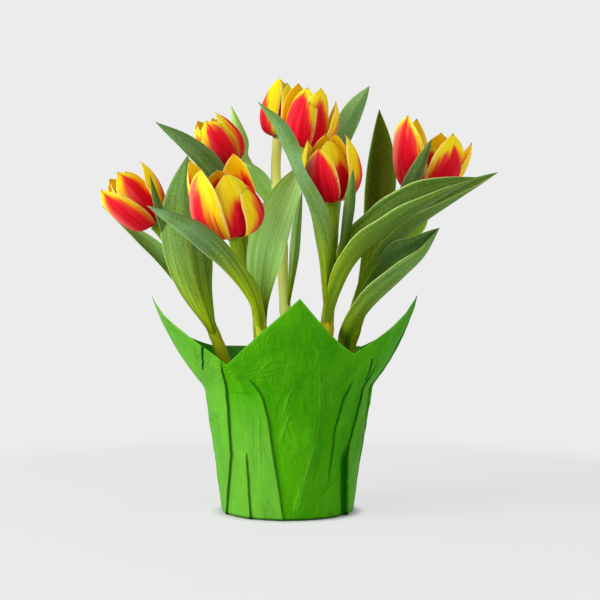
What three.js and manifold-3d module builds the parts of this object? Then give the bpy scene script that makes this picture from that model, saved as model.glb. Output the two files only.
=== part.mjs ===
// Potted tulips: seven forced tulip plants in a plastic nursery pot, inside a pleated
// green paper cover. Units are millimetres, +Z is up, the front faces -Y, and the
// origin is the middle of the flat underside of the cover.
import * as THREE from 'three';
import { mergeVertices } from 'three/addons/utils/BufferGeometryUtils.js';
import Module from 'manifold-3d';

const wasm = await Module();
wasm.setup();

// ---- driving dimensions ------------------------------------------------------

const GAP = 0.3; // clearance between neighbouring pieces

const PAPER = 0.8; // thickness of the cover
const COVER = {
  baseRadius: 52,
  bendRadius: 65.6, // where the upright wall ends and the four flaps flare out
  bendHeight: 98,
  bendLength: 8, // length of paper over which the wall turns into a flap
  footBevel: 1.5,
  flapLength: 88, // along the paper from the bend to the tip of a flap
  notchFlare: 66, // of the paper in the notch between two flaps above level, in degrees
};
// The flaps in order round the cover: heading of the tip, flare above level and curl (how
// far the flap turns up from its middle to its tip), in degrees, how steeply its two free
// edges fall from the tip, and the same for the notch on the side of the higher headings.
const FLAPS = [
  { heading: 6, flare: 66, curl: 0, falls: [1, 1], notchFall: 0.88 },
  { heading: 77, flare: 62, curl: 12, falls: [0.7, 0.9], notchFall: 1 },
  { heading: 180, flare: 15, curl: 0, falls: [1, 1], notchFall: 1 }, // the back one hangs low
  { heading: 278, flare: 60, curl: 12, falls: [1.1, 0.65], notchFall: 1.1 },
];

// Laps where the paper is pleated: the way that the upper layer lies from the edge (+1
// towards higher headings), then the heading and depth of the edge by level. A level is 0
// at the foot, 1 at the bend and 2 at the free edge of a flap.
const LAPS = [
  [1, [[0, -98, 1.4], [1, -104, 1.6], [2, -106, 0]]],
  [-1, [[0, -66, 1.6], [0.27, -54, 2], [0.51, -46.5, 2.2], [0.68, -45.5, 2.4], [1, -45, 2.4],
    [1.3, -43, 1.8], [2, -41, 0]]],
  [-1, [[0, -32.6, 1.6], [0.5, -31.9, 1.5], [0.56, -31.8, 0], [2, -31.5, 0]]],
  [-1, [[0, -2.6, 1.3], [0.6, -10.8, 1.8], [0.8, -12.5, 1.9], [0.96, -15.3, 1.9], [1.2, -20, 1.4],
    [1.4, -25, 0], [2, -27, 0]]],
  [1, [[0, 35, 0], [0.24, 35.5, 0], [0.3, 35.7, 0.5], [0.5, 36.6, 1.6], [0.75, 37.3, 2],
    [0.95, 41.6, 2], [1.1, 46, 1.4], [1.35, 48, 0], [2, 48.5, 0]]],
  [1, [[0, 71, 2.6], [0.27, 63, 2.8], [0.53, 57, 2.8], [0.65, 60, 1.4], [0.92, 64, 1.4],
    [1.2, 62, 0.8], [1.5, 62, 0], [2, 62, 0]]],
  [-1, [[0, 86, 1.4], [1, 78, 1.8], [1.6, 77, 0], [2, 77, 0]]],
  [1, [[0, 96, 1.3], [0.7, 90, 2], [0.95, 88, 3.4], [1.3, 88, 2], [2, 88, 0]]],
  [1, [[0, 128, 1.8], [1, 131, 2.2], [2, 131, 0]]],
  [-1, [[0, 158, 1.5], [1, 152, 1.5], [2, 152, 0]]],
  [1, [[0, 174, 1.6], [1, 170, 1.8], [2, 170, 0]]],
  [-1, [[0, 192, 1.4], [1, 201, 1.5], [2, 201, 0]]],
  [1, [[0, 214, 2], [1, 222, 2.2], [2, 222, 0]]],
  [-1, [[0, 242, 1.6], [1, 240, 1.6], [2, 240, 0]]],
];
const LAP_WIDTH = 13; // degrees over which the upper layer sinks back to the wall

const POT = {
  floorRadius: 49.2,
  rimRadius: 63.2,
  lipRadius: 62.9,
  lipTopRadius: 63.9,
  height: 95,
  wall: 1.3,
  floor: 1.6,
  lipDrop: 7, // height of the rim band
  lipStep: 0.8, // height over which the rim band stands out from the wall
  drainRadius: 4.5,
  drainRing: 31,
  drains: 6,
};
const POT_SIDES = 24;
const POT_BOTTOM = PAPER + GAP;
const POT_FLOOR_TOP = POT_BOTTOM + POT.floor;
const SOIL_TOP = 77;

// Bulbs: radius and height of each ring, from the root plate to the nose.
const BULB_PROFILE = [[6, 0], [12.5, 6], [14, 14], [11.5, 24], [4.6, 40]];
const BULB_BOTTOM = 44;
const BULB_TOP = BULB_BOTTOM + BULB_PROFILE[BULB_PROFILE.length - 1][1];
const BULB_SIDES = 7;

const STEM_RADIUS = { bottom: 4.6, top: 3.9 };
const LEAF_THICKNESS = 0.9;
const PETAL_THICKNESS = 0.8;
const NECK = { radius: 4, height: 6 }; // receptacle that carries the petals
const STAMENS = { count: 6, ring: 5.6, footRing: 2.6, share: 0.85 }; // share of the pistil's height
const PISTIL_SHARE = 0.36; // height of the pistil as a share of the bloom's

// ---- the plants --------------------------------------------------------------
// Every plant has the spot of its bulb, points that its stem passes through, a bloom
// and its leaves. A bloom has the point where it sits on the stem, how far it leans to
// the right and nods to the front, its height, radius and mouth (tip radius as a share
// of the radius), and six petals: heading, outward tilt, length as a share, width.
// The first three petals are the outer whorl. A leaf has the path of its midrib, its
// greatest width, and its roll and fold in degrees along the path; base is its share of
// width where it leaves the stem, peak the place of the greatest width, share the part
// of the width on its right side, and wave how far its margins ripple. A negative fold
// turns the margins to the back.

const PLANTS = {
  a: {
    bulb: [-36, -8],
    stem: [[-51, -21, 128], [-63, -21, 158], [-80, -12, 194]],
    bloom: {
      at: [-105, -2, 230], lean: -37, nod: 8, height: 50, radius: 19, mouth: 0.75,
      petals: [
        [-35, 13, 1.07, 33], [85, 9, 0.99, 40], [205, 4, 1, 34],
        [25, -7, 1.05, 34], [145, 0, 0.95, 32], [265, -4, 0.96, 32],
      ],
    },
    leaves: {
      low: {
        path: [[-52, -21, 132], [-70, -10, 163], [-95, 6, 195], [-123, 17, 220], [-149, 22, 244]],
        width: 24, roll: [-20, -50], fold: [50, 40], base: 0.4, peak: 0.35,
      },
      wide: {
        path: [[-54, -22, 136], [-62, -32, 158], [-73, -36, 188], [-80, -34, 224], [-81, -32, 255],
          [-78, -30, 286]],
        width: 45, roll: [-10, 0, 10], fold: [-60, -30, -18], base: 0.2, peak: 0.56, wave: 2,
      },
      slim: {
        path: [[-57, -21, 144], [-76, -16, 180], [-92, -22, 219], [-101, -34, 247], [-107, -38, 271]],
        width: 10, fold: [30, -30],
      },
    },
  },
  b: {
    bulb: [-12, -38],
    stem: [[-18, -42, 138], [-25, -48, 180]],
    bloom: {
      at: [-41, -62, 223], lean: -11, nod: 14, height: 62, radius: 28, mouth: 0.5,
      petals: [
        [-52, 2, 1, 46], [72, -2, 0.7, 42], [190, 0, 0.84, 44],
        [26, -3, 0.87, 46], [138, 6, 1.02, 44], [245, 10, 1.08, 44],
      ],
    },
    leaves: {
      arch: {
        path: [[-19, -43, 144], [-25, -62, 176], [-42, -88, 208], [-63, -103, 230], [-85, -100, 242],
          [-106, -90, 249]],
        width: 25, roll: [0, -30, -50], fold: [-60, -40, -28], base: 0.45, peak: 0.5,
      },
      wide: {
        path: [[-18, -42, 140], [-20, -34, 173], [-18, -30, 203], [-11, -27, 232], [1, -24, 259],
          [13, -22, 280]],
        width: 40, roll: [0], fold: [60, 40, 30], base: 0.25, peak: 0.45, wave: 2,
      },
    },
  },
  c: {
    bulb: [2, 5],
    stem: [[-1, 10, 150], [-4, 20, 200], [-8, 34, 250]],
    bloom: {
      at: [-8, 44, 298], lean: 3, nod: 0, height: 48, radius: 17, mouth: 0.35,
      petals: [
        [-60, -6, 1.05, 34], [60, 0, 0.95, 34], [180, 0, 1, 34],
        [0, 0, 0.95, 32], [120, 0, 0.95, 32], [240, 0, 0.95, 32],
      ],
    },
    leaves: {
      twist: {
        path: [[0, 12, 165], [-2, 25, 194], [-5, 36, 222], [-11, 42, 249], [-25, 49, 271],
          [-37, 54, 295], [-46, 59, 325]],
        width: 23, roll: [0, 0, 0, 10, 30, 165, 180], fold: [60, 30], base: 0.35, peak: 0.65,
      },
      slim: {
        path: [[0, 11, 158], [5, 2, 198], [8, -4, 230], [12, -8, 258]],
        width: 10, fold: [-40, -30],
      },
    },
  },
  d: {
    bulb: [27, -28],
    stem: [[32, -33, 145], [34, -38, 188], [36, -44, 220]],
    bloom: {
      at: [35.5, -48, 249], lean: -2, nod: 2, height: 54, radius: 22, mouth: 0.35,
      petals: [
        [-25, 17, 0.87, 36], [85, 5, 0.99, 40], [205, 0, 1, 36],
        [25, -11, 0.93, 36], [145, 0, 1, 34], [258, 13, 0.96, 42],
      ],
    },
    leaves: {
      front: {
        path: [[32, -34, 150], [31, -52, 184], [29, -66, 214], [20, -77, 244], [5, -78, 276],
          [-4, -68, 307], [-22, -50, 328]],
        width: 24, roll: [0, 0, 10, 45, 65, 10, 0], fold: [-60, -50, -40, -40, -30], base: 0.4,
        peak: 0.55,
      },
      arch: {
        path: [[32, -34, 147], [41, -50, 180], [56, -66, 208], [85, -76, 232], [116, -76, 253],
          [149, -64, 270]],
        width: 50, roll: [150, 110, 85, 74, 72], fold: [55, 55, 50], base: 0.35, peak: 0.5,
        share: 0.4, wave: 2,
      },
      slim: {
        path: [[34, -37, 176], [41, -48, 203], [46, -62, 229], [49, -74, 254], [51, -78, 277]],
        width: 12, fold: [-60, -30], peak: 0.6,
      },
    },
  },
  e: {
    bulb: [38, 4],
    stem: [[52, 4, 137], [65, 2, 174], [86, -2, 212]],
    bloom: {
      at: [109, -4, 253], lean: 6, nod: 4, height: 60, radius: 26, mouth: 0.75,
      petals: [
        [-50, 6, 1.08, 46], [42, 5, 0.9, 44], [150, -2, 0.84, 40],
        [5, -4, 0.68, 38], [98, 22, 0.86, 40], [220, 3, 1, 36],
      ],
    },
    leaves: {
      up: {
        path: [[52, 5, 145], [61, 20, 184], [70, 28, 221], [75, 29, 257], [76, 25, 289], [74, 18, 322]],
        width: 28, roll: [0], fold: [70, 30, 20], base: 0.3, peak: 0.6,
      },
      low: {
        path: [[53, 3, 142], [61, -16, 171], [74, -30, 200], [98, -38, 227], [132, -40, 251],
          [165, -36, 273]],
        width: 34, roll: [150, 110, 85, 65], fold: [55, 40, 25], base: 0.45, peak: 0.7,
      },
      base: {
        path: [[49, 4, 128], [51, -26, 144], [66, -46, 168], [90, -58, 192], [107, -56, 209],
          [119, -48, 230]],
        width: 50, roll: [150, 110, 75, 60], fold: [50, 50, 50], base: 0.4, peak: 0.62, share: 0.4,
      },
      slim: {
        path: [[61, 3, 163], [76, -12, 213], [90, -28, 247], [101, -41, 273], [113, -46, 299]],
        width: 16, fold: [-50, -30], peak: 0.6,
      },
    },
  },
  f: {
    bulb: [-22, 32],
    stem: [[-23, 30, 138], [-27, 28, 195], [-31, 28, 238]],
    bloom: {
      at: [-44, 28, 276], lean: -30, nod: 2, height: 44, radius: 18, mouth: 0.45,
      petals: [
        [0, 3, 0.98, 36], [80, 2, 1.02, 36], [215, 4, 1.04, 34],
        [-58, 8, 0.98, 32], [145, 2, 0.95, 32], [268, 2, 0.98, 30],
      ],
    },
    leaves: {
      cross: {
        path: [[-24, 30, 146], [-31, 13, 185], [-39, -2, 234], [-56, -12, 274], [-78, -12, 296],
          [-104, -6, 312]],
        width: 22, roll: [0, -10, -20], fold: [-60, -40, -30], base: 0.35, peak: 0.6,
      },
    },
  },
  g: {
    bulb: [20, 34],
    stem: [[31, 34, 143], [35, 30, 192], [32, 21, 237]],
    bloom: {
      at: [14, 12, 290], lean: 8, nod: 4, height: 50, radius: 19, mouth: 0.5,
      petals: [
        [-36, -3, 0.99, 42], [95, 14, 0.87, 36], [215, 13, 1.05, 36],
        [35, 3, 1.02, 36], [155, 8, 0.95, 34], [275, 4, 0.9, 34],
      ],
    },
    leaves: {
      up: {
        path: [[32, 34, 150], [36, 40, 192], [38, 46, 244], [41, 50, 289], [52, 51, 317], [67, 50, 341]],
        width: 24, fold: [-60, -30], base: 0.35, peak: 0.7,
      },
    },
  },
};

// ---- small helpers -------------------------------------------------------------

const vec = (x, y, z) => new THREE.Vector3(x, y, z);
const { degToRad: rad, lerp } = THREE.MathUtils;

/** Catmull-Rom value at t (0..1) through evenly spaced rows of numbers. */
function splineAt(rows, t) {
  const last = rows.length - 1;
  if (last === 0) return rows[0];
  const place = Math.min(Math.max(t, 0), 1) * last;
  const i = Math.min(Math.floor(place), last - 1);
  const s = place - i;
  return rows[0].map((_, axis) => {
    const b = rows[i][axis];
    const c = rows[i + 1][axis];
    const a = i > 0 ? rows[i - 1][axis] : 2 * b - c;
    const d = i + 1 < last ? rows[i + 2][axis] : 2 * c - b;
    const cubic = 3 * b - a - 3 * c + d;
    const square = 2 * a - 5 * b + 4 * c - d;
    return 0.5 * (2 * b + (c - a) * s + square * s * s + cubic * s * s * s);
  });
}

const pointAt = (path, t) => vec(...splineAt(path, t));
const numberAt = (list, t) => splineAt(list.map((value) => [value]), t)[0];

function tangentAt(path, t) {
  const step = 0.001;
  const ahead = pointAt(path, Math.min(t + step, 1));
  return ahead.sub(pointAt(path, Math.max(t - step, 0))).normalize();
}

/** Closed geometry from a list of points and a list of triangles. */
function meshOf(points, triangles) {
  const geometry = new THREE.BufferGeometry();
  const flat = points.flatMap((p) => [p.x, p.y, p.z]);
  geometry.setAttribute('position', new THREE.Float32BufferAttribute(flat, 3));
  geometry.setIndex(triangles.flat());
  return geometry;
}

function toSolid(geometry) {
  const bare = geometry.clone();
  bare.deleteAttribute('normal');
  bare.deleteAttribute('uv');
  const merged = mergeVertices(bare, 1e-4);
  return new wasm.Manifold(new wasm.Mesh({
    numProp: 3,
    vertProperties: new Float32Array(merged.attributes.position.array),
    triVerts: new Uint32Array(merged.index.array),
  }));
}

/** Joins solids into one body, keeping only its outer skin. */
function fuse(solids) {
  const joined = solids.reduce((sum, solid) => sum.add(solid));
  const bodies = joined.decompose().sort((p, q) => q.volume() - p.volume());
  return bodies[0];
}

function toGeometry(solid) {
  const mesh = solid.getMesh();
  const geometry = new THREE.BufferGeometry();
  const positions = new Float32Array(mesh.numVert * 3);
  for (let i = 0; i < mesh.numVert; i += 1) {
    for (let k = 0; k < 3; k += 1) {
      positions[i * 3 + k] = mesh.vertProperties[i * mesh.numProp + k];
    }
  }
  geometry.setAttribute('position', new THREE.BufferAttribute(positions, 3));
  geometry.setIndex(new THREE.BufferAttribute(new Uint32Array(mesh.triVerts), 1));
  return geometry;
}

/** Solid through rings of equal point counts, closed by a fan at each end. */
function loft(rings) {
  const count = rings[0].length;
  const points = rings.flat();
  const triangles = [];
  for (let j = 0; j + 1 < rings.length; j += 1) {
    for (let i = 0; i < count; i += 1) {
      const a = j * count + i;
      const b = j * count + ((i + 1) % count);
      triangles.push([a, b, b + count], [a, b + count, a + count]);
    }
  }
  for (const [ring, start] of [[rings[0], 0], [rings[rings.length - 1], points.length - count]]) {
    const middle = points.length;
    const sum = ring.reduce((total, p) => total.add(p), vec(0, 0, 0));
    points.push(sum.divideScalar(count));
    for (let i = 0; i < count; i += 1) {
      const next = (i + 1) % count;
      triangles.push(start === 0 ? [middle, next, i] : [middle, start + i, start + next]);
    }
  }
  return meshOf(points, triangles);
}

/** Thin solid with the given middle surface: rows of points, split alike on both faces. */
function sheet(rows, thickness) {
  const down = rows.length;
  const across = rows[0].length;
  const front = [];
  const back = [];
  for (let j = 0; j < down; j += 1) {
    for (let i = 0; i < across; i += 1) {
      const along = rows[Math.min(j + 1, down - 1)][i].clone().sub(rows[Math.max(j - 1, 0)][i]);
      const side = rows[j][Math.min(i + 1, across - 1)].clone().sub(rows[j][Math.max(i - 1, 0)]);
      const normal = side.cross(along).normalize().multiplyScalar(thickness / 2);
      front.push(rows[j][i].clone().add(normal));
      back.push(rows[j][i].clone().sub(normal));
    }
  }
  const total = down * across;
  const triangles = [];
  for (let j = 0; j + 1 < down; j += 1) {
    for (let i = 0; i + 1 < across; i += 1) {
      const a = j * across + i;
      const [b, c, d] = [a + 1, a + across + 1, a + across];
      triangles.push([a, b, c], [a, c, d]);
      triangles.push([total + a, total + c, total + b], [total + a, total + d, total + c]);
    }
  }
  const rim = [];
  for (let i = 0; i < across - 1; i += 1) rim.push(i);
  for (let j = 0; j < down - 1; j += 1) rim.push(j * across + across - 1);
  for (let i = across - 1; i > 0; i -= 1) rim.push((down - 1) * across + i);
  for (let j = down - 1; j > 0; j -= 1) rim.push(j * across);
  rim.forEach((a, k) => {
    const b = rim[(k + 1) % rim.length];
    triangles.push([b, a, total + a], [b, total + a, total + b]);
  });
  return meshOf([...front, ...back], triangles);
}

// ---- leaves and stems ----------------------------------------------------------

/** Width of a leaf at t, as a share of its greatest width. */
function leafWidth(t, base, peak) {
  if (t < peak) {
    const s = t / peak;
    return base + (1 - base) * s * s * (3 - 2 * s);
  }
  const s = (t - peak) / (1 - peak);
  return 1 - s ** 2.1;
}

const LEAF_TIP_WIDTH = 1.2;
const LEAF_ROWS = 8;
const LEAF_COLUMNS = 4;

/** Point of a leaf: u runs from its left margin (-1) to its right (1), t from base to tip. */
function leafPoint(leaf, u, t) {
  const { path, width, roll = [0], fold, base = 0.3, peak = 0.45, share = 0.5, wave = 1 } = leaf;
  const along = tangentAt(path, t);
  const toFront = vec(0, -1, 0);
  const facing = toFront.clone().addScaledVector(along, -toFront.dot(along)).normalize();
  const across = along.clone().cross(facing);
  const turn = rad(numberAt(roll, t));
  const side = across.clone().multiplyScalar(Math.cos(turn)).addScaledVector(facing, Math.sin(turn));
  const normal = facing.clone().multiplyScalar(Math.cos(turn)).addScaledVector(across, -Math.sin(turn));
  const full = Math.max(width * leafWidth(t, base, peak), LEAF_TIP_WIDTH);
  const reach = Math.abs(u) * full * (u > 0 ? share : 1 - share);
  const bend = rad(numberAt(fold, t));
  // The blade curls up evenly, from 0.4 of the fold at the midrib to 1.6 of it at the margin.
  const steps = 6;
  let out = 0;
  let rise = 0;
  for (let k = 0; k < steps; k += 1) {
    const slope = bend * (0.4 + 1.2 * ((k + 0.5) / steps) * Math.abs(u));
    out += (Math.cos(slope) * reach) / steps;
    rise += (Math.sin(slope) * reach) / steps;
  }
  const phase = u > 0 ? 1.9 : 0;
  rise += wave * u * u * Math.sin(3 * Math.PI * t + phase) * Math.sin(Math.PI * t);
  return pointAt(path, t).addScaledVector(side, Math.sign(u) * out).addScaledVector(normal, rise);
}

function leafSolid(leaf) {
  const rows = [];
  for (let j = 0; j <= LEAF_ROWS; j += 1) {
    const row = [];
    for (let i = 0; i <= LEAF_COLUMNS; i += 1) {
      row.push(leafPoint(leaf, (2 * i) / LEAF_COLUMNS - 1, j / LEAF_ROWS));
    }
    rows.push(row);
  }
  return toSolid(sheet(rows, LEAF_THICKNESS));
}

const STEM_SIDES = 7;
const STEM_ROWS = 8;
const STEM_END = 24; // last stretch of the stem, straight in line with the bloom

function bloomAxis({ lean, nod }) {
  const [l, n] = [rad(lean), rad(nod)];
  return vec(Math.sin(l) * Math.cos(n), -Math.sin(n), Math.cos(l) * Math.cos(n));
}

function stemPath({ bulb, stem, bloom }) {
  const axis = bloomAxis(bloom);
  const base = vec(...bloom.at);
  const foot = [bulb[0], bulb[1], BULB_TOP + GAP];
  const shoulder = base.clone().addScaledVector(axis, -STEM_END);
  const end = base.clone().addScaledVector(axis, -GAP);
  return [foot, ...stem, shoulder.toArray(), end.toArray()];
}

function stemSolid(plant) {
  const path = stemPath(plant);
  const rings = [];
  for (let j = 0; j <= STEM_ROWS; j += 1) {
    const t = j / STEM_ROWS;
    const middle = pointAt(path, t);
    let along = tangentAt(path, t);
    if (j === 0) along = vec(0, 0, 1);
    if (j === STEM_ROWS) along = bloomAxis(plant.bloom);
    const right = vec(0, -1, 0).cross(along).negate().normalize();
    const back = along.clone().cross(right);
    const radius = lerp(STEM_RADIUS.bottom, STEM_RADIUS.top, t);
    const ring = [];
    for (let i = 0; i < STEM_SIDES; i += 1) {
      const angle = (2 * Math.PI * i) / STEM_SIDES;
      ring.push(middle.clone().addScaledVector(right, radius * Math.cos(angle))
        .addScaledVector(back, radius * Math.sin(angle)));
    }
    rings.push(ring);
  }
  return toSolid(loft(rings));
}

// ---- blooms ----------------------------------------------------------------------

const PETAL_STEPS = [0, 0.18, 0.45, 0.75, 1]; // rows of a petal, from foot to tip
const PETAL_COLUMNS = 4;
const INNER_WHORL = 0.8; // radius of the inner three petals against the outer three

// A petal's cross section is an arc. Its radius is a share of the distance from the axis
// of the bloom, with a least value, and half of the arc turns at most this many degrees.
const PETAL_CURVE = { share: 0.92, least: 6, mostWrap: 57 };

/** Half width of a petal at t, as a share of the greatest. */
function petalWidth(t) {
  if (t < 0.5) return 0.12 + 0.88 * Math.sin(t * Math.PI);
  return Math.max(1 - ((t - 0.5) / 0.5) ** 2.1, 0.05);
}

/** Point of a petal: u runs across it from -1 to 1, t from its foot to its tip. */
function petalPoint(bloom, index, u, t) {
  const [heading, tilt, length, width] = bloom.petals[index];
  const axis = bloomAxis(bloom);
  const toFront = vec(0, -1, 0);
  const front = toFront.clone().addScaledVector(axis, -toFront.dot(axis)).normalize();
  const right = axis.clone().cross(front);
  const turn = rad(heading);
  const outward = front.multiplyScalar(Math.cos(turn)).addScaledVector(right, Math.sin(turn));
  const sideways = axis.clone().cross(outward);
  const size = bloom.radius * (index < 3 ? 1 : INNER_WHORL);
  const shoulder = 0.61 + 0.5 * bloom.mouth;
  const profile = [[0.1, 0.02], [0.74, 0.12], [1, 0.4], [shoulder, 0.74], [bloom.mouth, 1]];
  const [outShare, upShare] = splineAt(profile, t);
  const out = outShare * size;
  const up = upShare * bloom.height * length;
  const curve = Math.max(PETAL_CURVE.share * out, PETAL_CURVE.least);
  const wrap = Math.min(((width / 2) * petalWidth(t)) / curve, rad(PETAL_CURVE.mostWrap));
  const angle = u * wrap;
  const reach = out - curve * (1 - Math.cos(angle));
  const swing = rad(tilt);
  return vec(...bloom.at)
    .addScaledVector(outward, reach * Math.cos(swing) + up * Math.sin(swing))
    .addScaledVector(sideways, curve * Math.sin(angle))
    .addScaledVector(axis, up * Math.cos(swing) - 0.3 * reach * Math.sin(swing));
}

function petalSolid(bloom, index) {
  const rows = PETAL_STEPS.map((t) => {
    const row = [];
    for (let i = 0; i <= PETAL_COLUMNS; i += 1) {
      row.push(petalPoint(bloom, index, (2 * i) / PETAL_COLUMNS - 1, t));
    }
    return row;
  });
  return toSolid(sheet(rows, PETAL_THICKNESS));
}

/** Ring of points round the axis of a bloom, at a height above its foot. */
function bloomRing(bloom, height, radius, sides, offset = vec(0, 0, 0)) {
  const axis = bloomAxis(bloom);
  const right = vec(0, -1, 0).cross(axis).negate().normalize();
  const back = axis.clone().cross(right);
  const middle = vec(...bloom.at).addScaledVector(axis, height)
    .addScaledVector(right, offset.x).addScaledVector(back, offset.y);
  return Array.from({ length: sides }, (_, i) => {
    const angle = (2 * Math.PI * i) / sides;
    return middle.clone().addScaledVector(right, radius * Math.cos(angle))
      .addScaledVector(back, radius * Math.sin(angle));
  });
}

function bloomSolid(bloom) {
  const neck = loft([
    bloomRing(bloom, 0, NECK.radius * 0.9, 8),
    bloomRing(bloom, NECK.height, NECK.radius, 8),
  ]);
  return fuse([toSolid(neck), ...bloom.petals.map((_, index) => petalSolid(bloom, index))]);
}

/** Pistil with its stigma, and a ring of stamens that leans out from its foot. */
function heartSolid(bloom) {
  const foot = NECK.height + GAP;
  const tall = PISTIL_SHARE * bloom.height;
  const pistil = [[0, 3.6], [1.6, 2.8], [tall - 3, 2.1], [tall, 2.8]]; // heights and radii
  const parts = [toSolid(loft(pistil.map(([h, r]) => bloomRing(bloom, foot + h, r, 5))))];
  for (let k = 0; k < STAMENS.count; k += 1) {
    const angle = (2 * Math.PI * (k + 0.5)) / STAMENS.count;
    const stamen = [[0.4, 0.8, STAMENS.footRing], [tall * STAMENS.share, 1.3, STAMENS.ring]];
    parts.push(toSolid(loft(stamen.map(([h, r, out]) => (
      bloomRing(bloom, foot + h, r, 3, vec(out * Math.cos(angle), out * Math.sin(angle), 0))
    )))));
  }
  return fuse(parts);
}

// ---- bulbs, soil and pot -----------------------------------------------------------

/** Level ring of points round an upright axis. */
function ringAt(x, y, z, radius, sides) {
  return Array.from({ length: sides }, (_, i) => {
    const angle = (2 * Math.PI * i) / sides;
    return vec(x + radius * Math.cos(angle), y + radius * Math.sin(angle), z);
  });
}

/** A bulb on its spot, grown all round by an offset. */
function bulbSolid([x, y], offset) {
  const rings = BULB_PROFILE.map(([radius, height], row) => {
    const lift = row === 0 ? -offset : 0;
    return ringAt(x, y, BULB_BOTTOM + height + lift, radius + offset, BULB_SIDES);
  });
  return toSolid(loft(rings));
}

/** Outer radius of the pot at a height above the base of the cover. */
function potRadius(z) {
  const rise = (z - POT_BOTTOM) / POT.height;
  return lerp(POT.floorRadius, POT.rimRadius, rise);
}

function potSolid() {
  const top = POT_BOTTOM + POT.height;
  const lip = top - POT.lipDrop;
  const outer = loft([
    ringAt(0, 0, POT_BOTTOM, potRadius(POT_BOTTOM), POT_SIDES),
    ringAt(0, 0, lip, potRadius(lip), POT_SIDES),
    ringAt(0, 0, lip + POT.lipStep, POT.lipRadius, POT_SIDES),
    ringAt(0, 0, top, POT.lipTopRadius, POT_SIDES),
  ]);
  const inner = loft([
    ringAt(0, 0, POT_FLOOR_TOP, potRadius(POT_FLOOR_TOP) - POT.wall, POT_SIDES),
    ringAt(0, 0, top + 1, potRadius(top + 1) - POT.wall, POT_SIDES),
  ]);
  let pot = toSolid(outer).subtract(toSolid(inner));
  for (let k = 0; k < POT.drains; k += 1) {
    const angle = (2 * Math.PI * k) / POT.drains;
    const x = POT.drainRing * Math.cos(angle);
    const y = POT.drainRing * Math.sin(angle);
    const drill = loft([
      ringAt(x, y, POT_BOTTOM - 1, POT.drainRadius, 8),
      ringAt(x, y, POT_FLOOR_TOP + 1, POT.drainRadius, 8),
    ]);
    pot = pot.subtract(toSolid(drill));
  }
  return fuse([pot]);
}

/** Height of the crumbly surface of the soil. */
function soilHeight(x, y) {
  const mound = 2 - (x * x + y * y) / 1600;
  const crumbs = Math.sin(x * 0.31 + 1.3) * Math.cos(y * 0.27) + 0.6 * Math.sin(x * 0.17 - y * 0.43);
  return SOIL_TOP + mound + 0.9 * crumbs;
}

function soilSolid() {
  const floor = POT_FLOOR_TOP + GAP;
  const wallRadius = (z) => potRadius(z) - POT.wall - GAP;
  const shares = [0.99, 0.6]; // rings of the surface, as shares of the radius
  const edge = SOIL_TOP - 1;
  const rings = [
    ringAt(0, 0, floor, wallRadius(floor), POT_SIDES),
    ringAt(0, 0, edge, wallRadius(edge), POT_SIDES),
    ...shares.map((share) => ringAt(0, 0, 0, share * wallRadius(edge), POT_SIDES)
      .map((p) => vec(p.x, p.y, soilHeight(p.x, p.y)))),
  ];
  let soil = toSolid(loft(rings));
  for (const plant of Object.values(PLANTS)) {
    soil = soil.subtract(bulbSolid(plant.bulb, GAP + 0.05));
  }
  return fuse([soil]);
}

// ---- paper cover --------------------------------------------------------------------

/** Heading brought into the range from -180 to 180. */
const halfTurn = (heading) => ((((heading + 180) % 360) + 360) % 360) - 180;

/** Angle from one flap's tip to the next one's, by the place of the first in the list. */
const flapSpan = (i) => (FLAPS[(i + 1) % FLAPS.length].heading - FLAPS[i].heading + 360) % 360;

/** How the paper flares, curls and falls at a heading, between a flap and a notch. */
function flapAt(heading) {
  const offs = FLAPS.map((flap) => ((heading - flap.heading) % 360 + 360) % 360);
  const before = offs.indexOf(Math.min(...offs));
  const after = (before + 1) % FLAPS.length;
  const place = offs[before] / flapSpan(before); // 0 at one flap's tip, 1 at the next one's
  const flap = FLAPS[place < 0.5 ? before : after];
  const fall = flap.falls[place < 0.5 ? 1 : 0];
  const off = 90 * Math.min(place, 1 - place); // 45 in the notch
  const share = Math.cos(rad(2 * off));
  return {
    off,
    flare: lerp(COVER.notchFlare, flap.flare, share),
    curl: flap.curl * share,
    fall: lerp(FLAPS[before].notchFall, fall, share),
  };
}

/** Heading and depth of the edge of a lap at a level, straight between its rows. */
function lapEdge(rows, level) {
  const k = Math.max(1, rows.findIndex((row) => row[0] >= level));
  const share = (level - rows[k - 1][0]) / (rows[k][0] - rows[k - 1][0]);
  return [1, 2].map((i) => lerp(rows[k - 1][i], rows[k][i], share));
}

/** Depth of the laps at a heading and level: each steps up at its edge and sinks back. */
function lapDepth(heading, level) {
  let depth = 0;
  for (const [way, rows] of LAPS) {
    const [edge, height] = lapEdge(rows, level);
    const off = halfTurn(heading - edge) * way;
    if (off >= 0 && off < LAP_WIDTH) depth = Math.max(depth, height * (1 - off / LAP_WIDTH));
  }
  return depth;
}

/** Columns of the cover by their headings at the bend: even ones, and two at each lap. */
function coverColumns() {
  const spacing = 15;
  const fixed = FLAPS.map((flap) => halfTurn(flap.heading));
  for (const [way, rows] of LAPS) {
    const home = halfTurn(lapEdge(rows, 1)[0]);
    fixed.push(home - 0.8 * way, home + 0.4 * way);
  }
  const list = [...fixed];
  for (let heading = -180; heading < 180; heading += spacing) {
    if (fixed.every((other) => Math.abs(heading - other) > 2)) list.push(heading);
  }
  return list.sort((p, q) => p - q);
}

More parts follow.
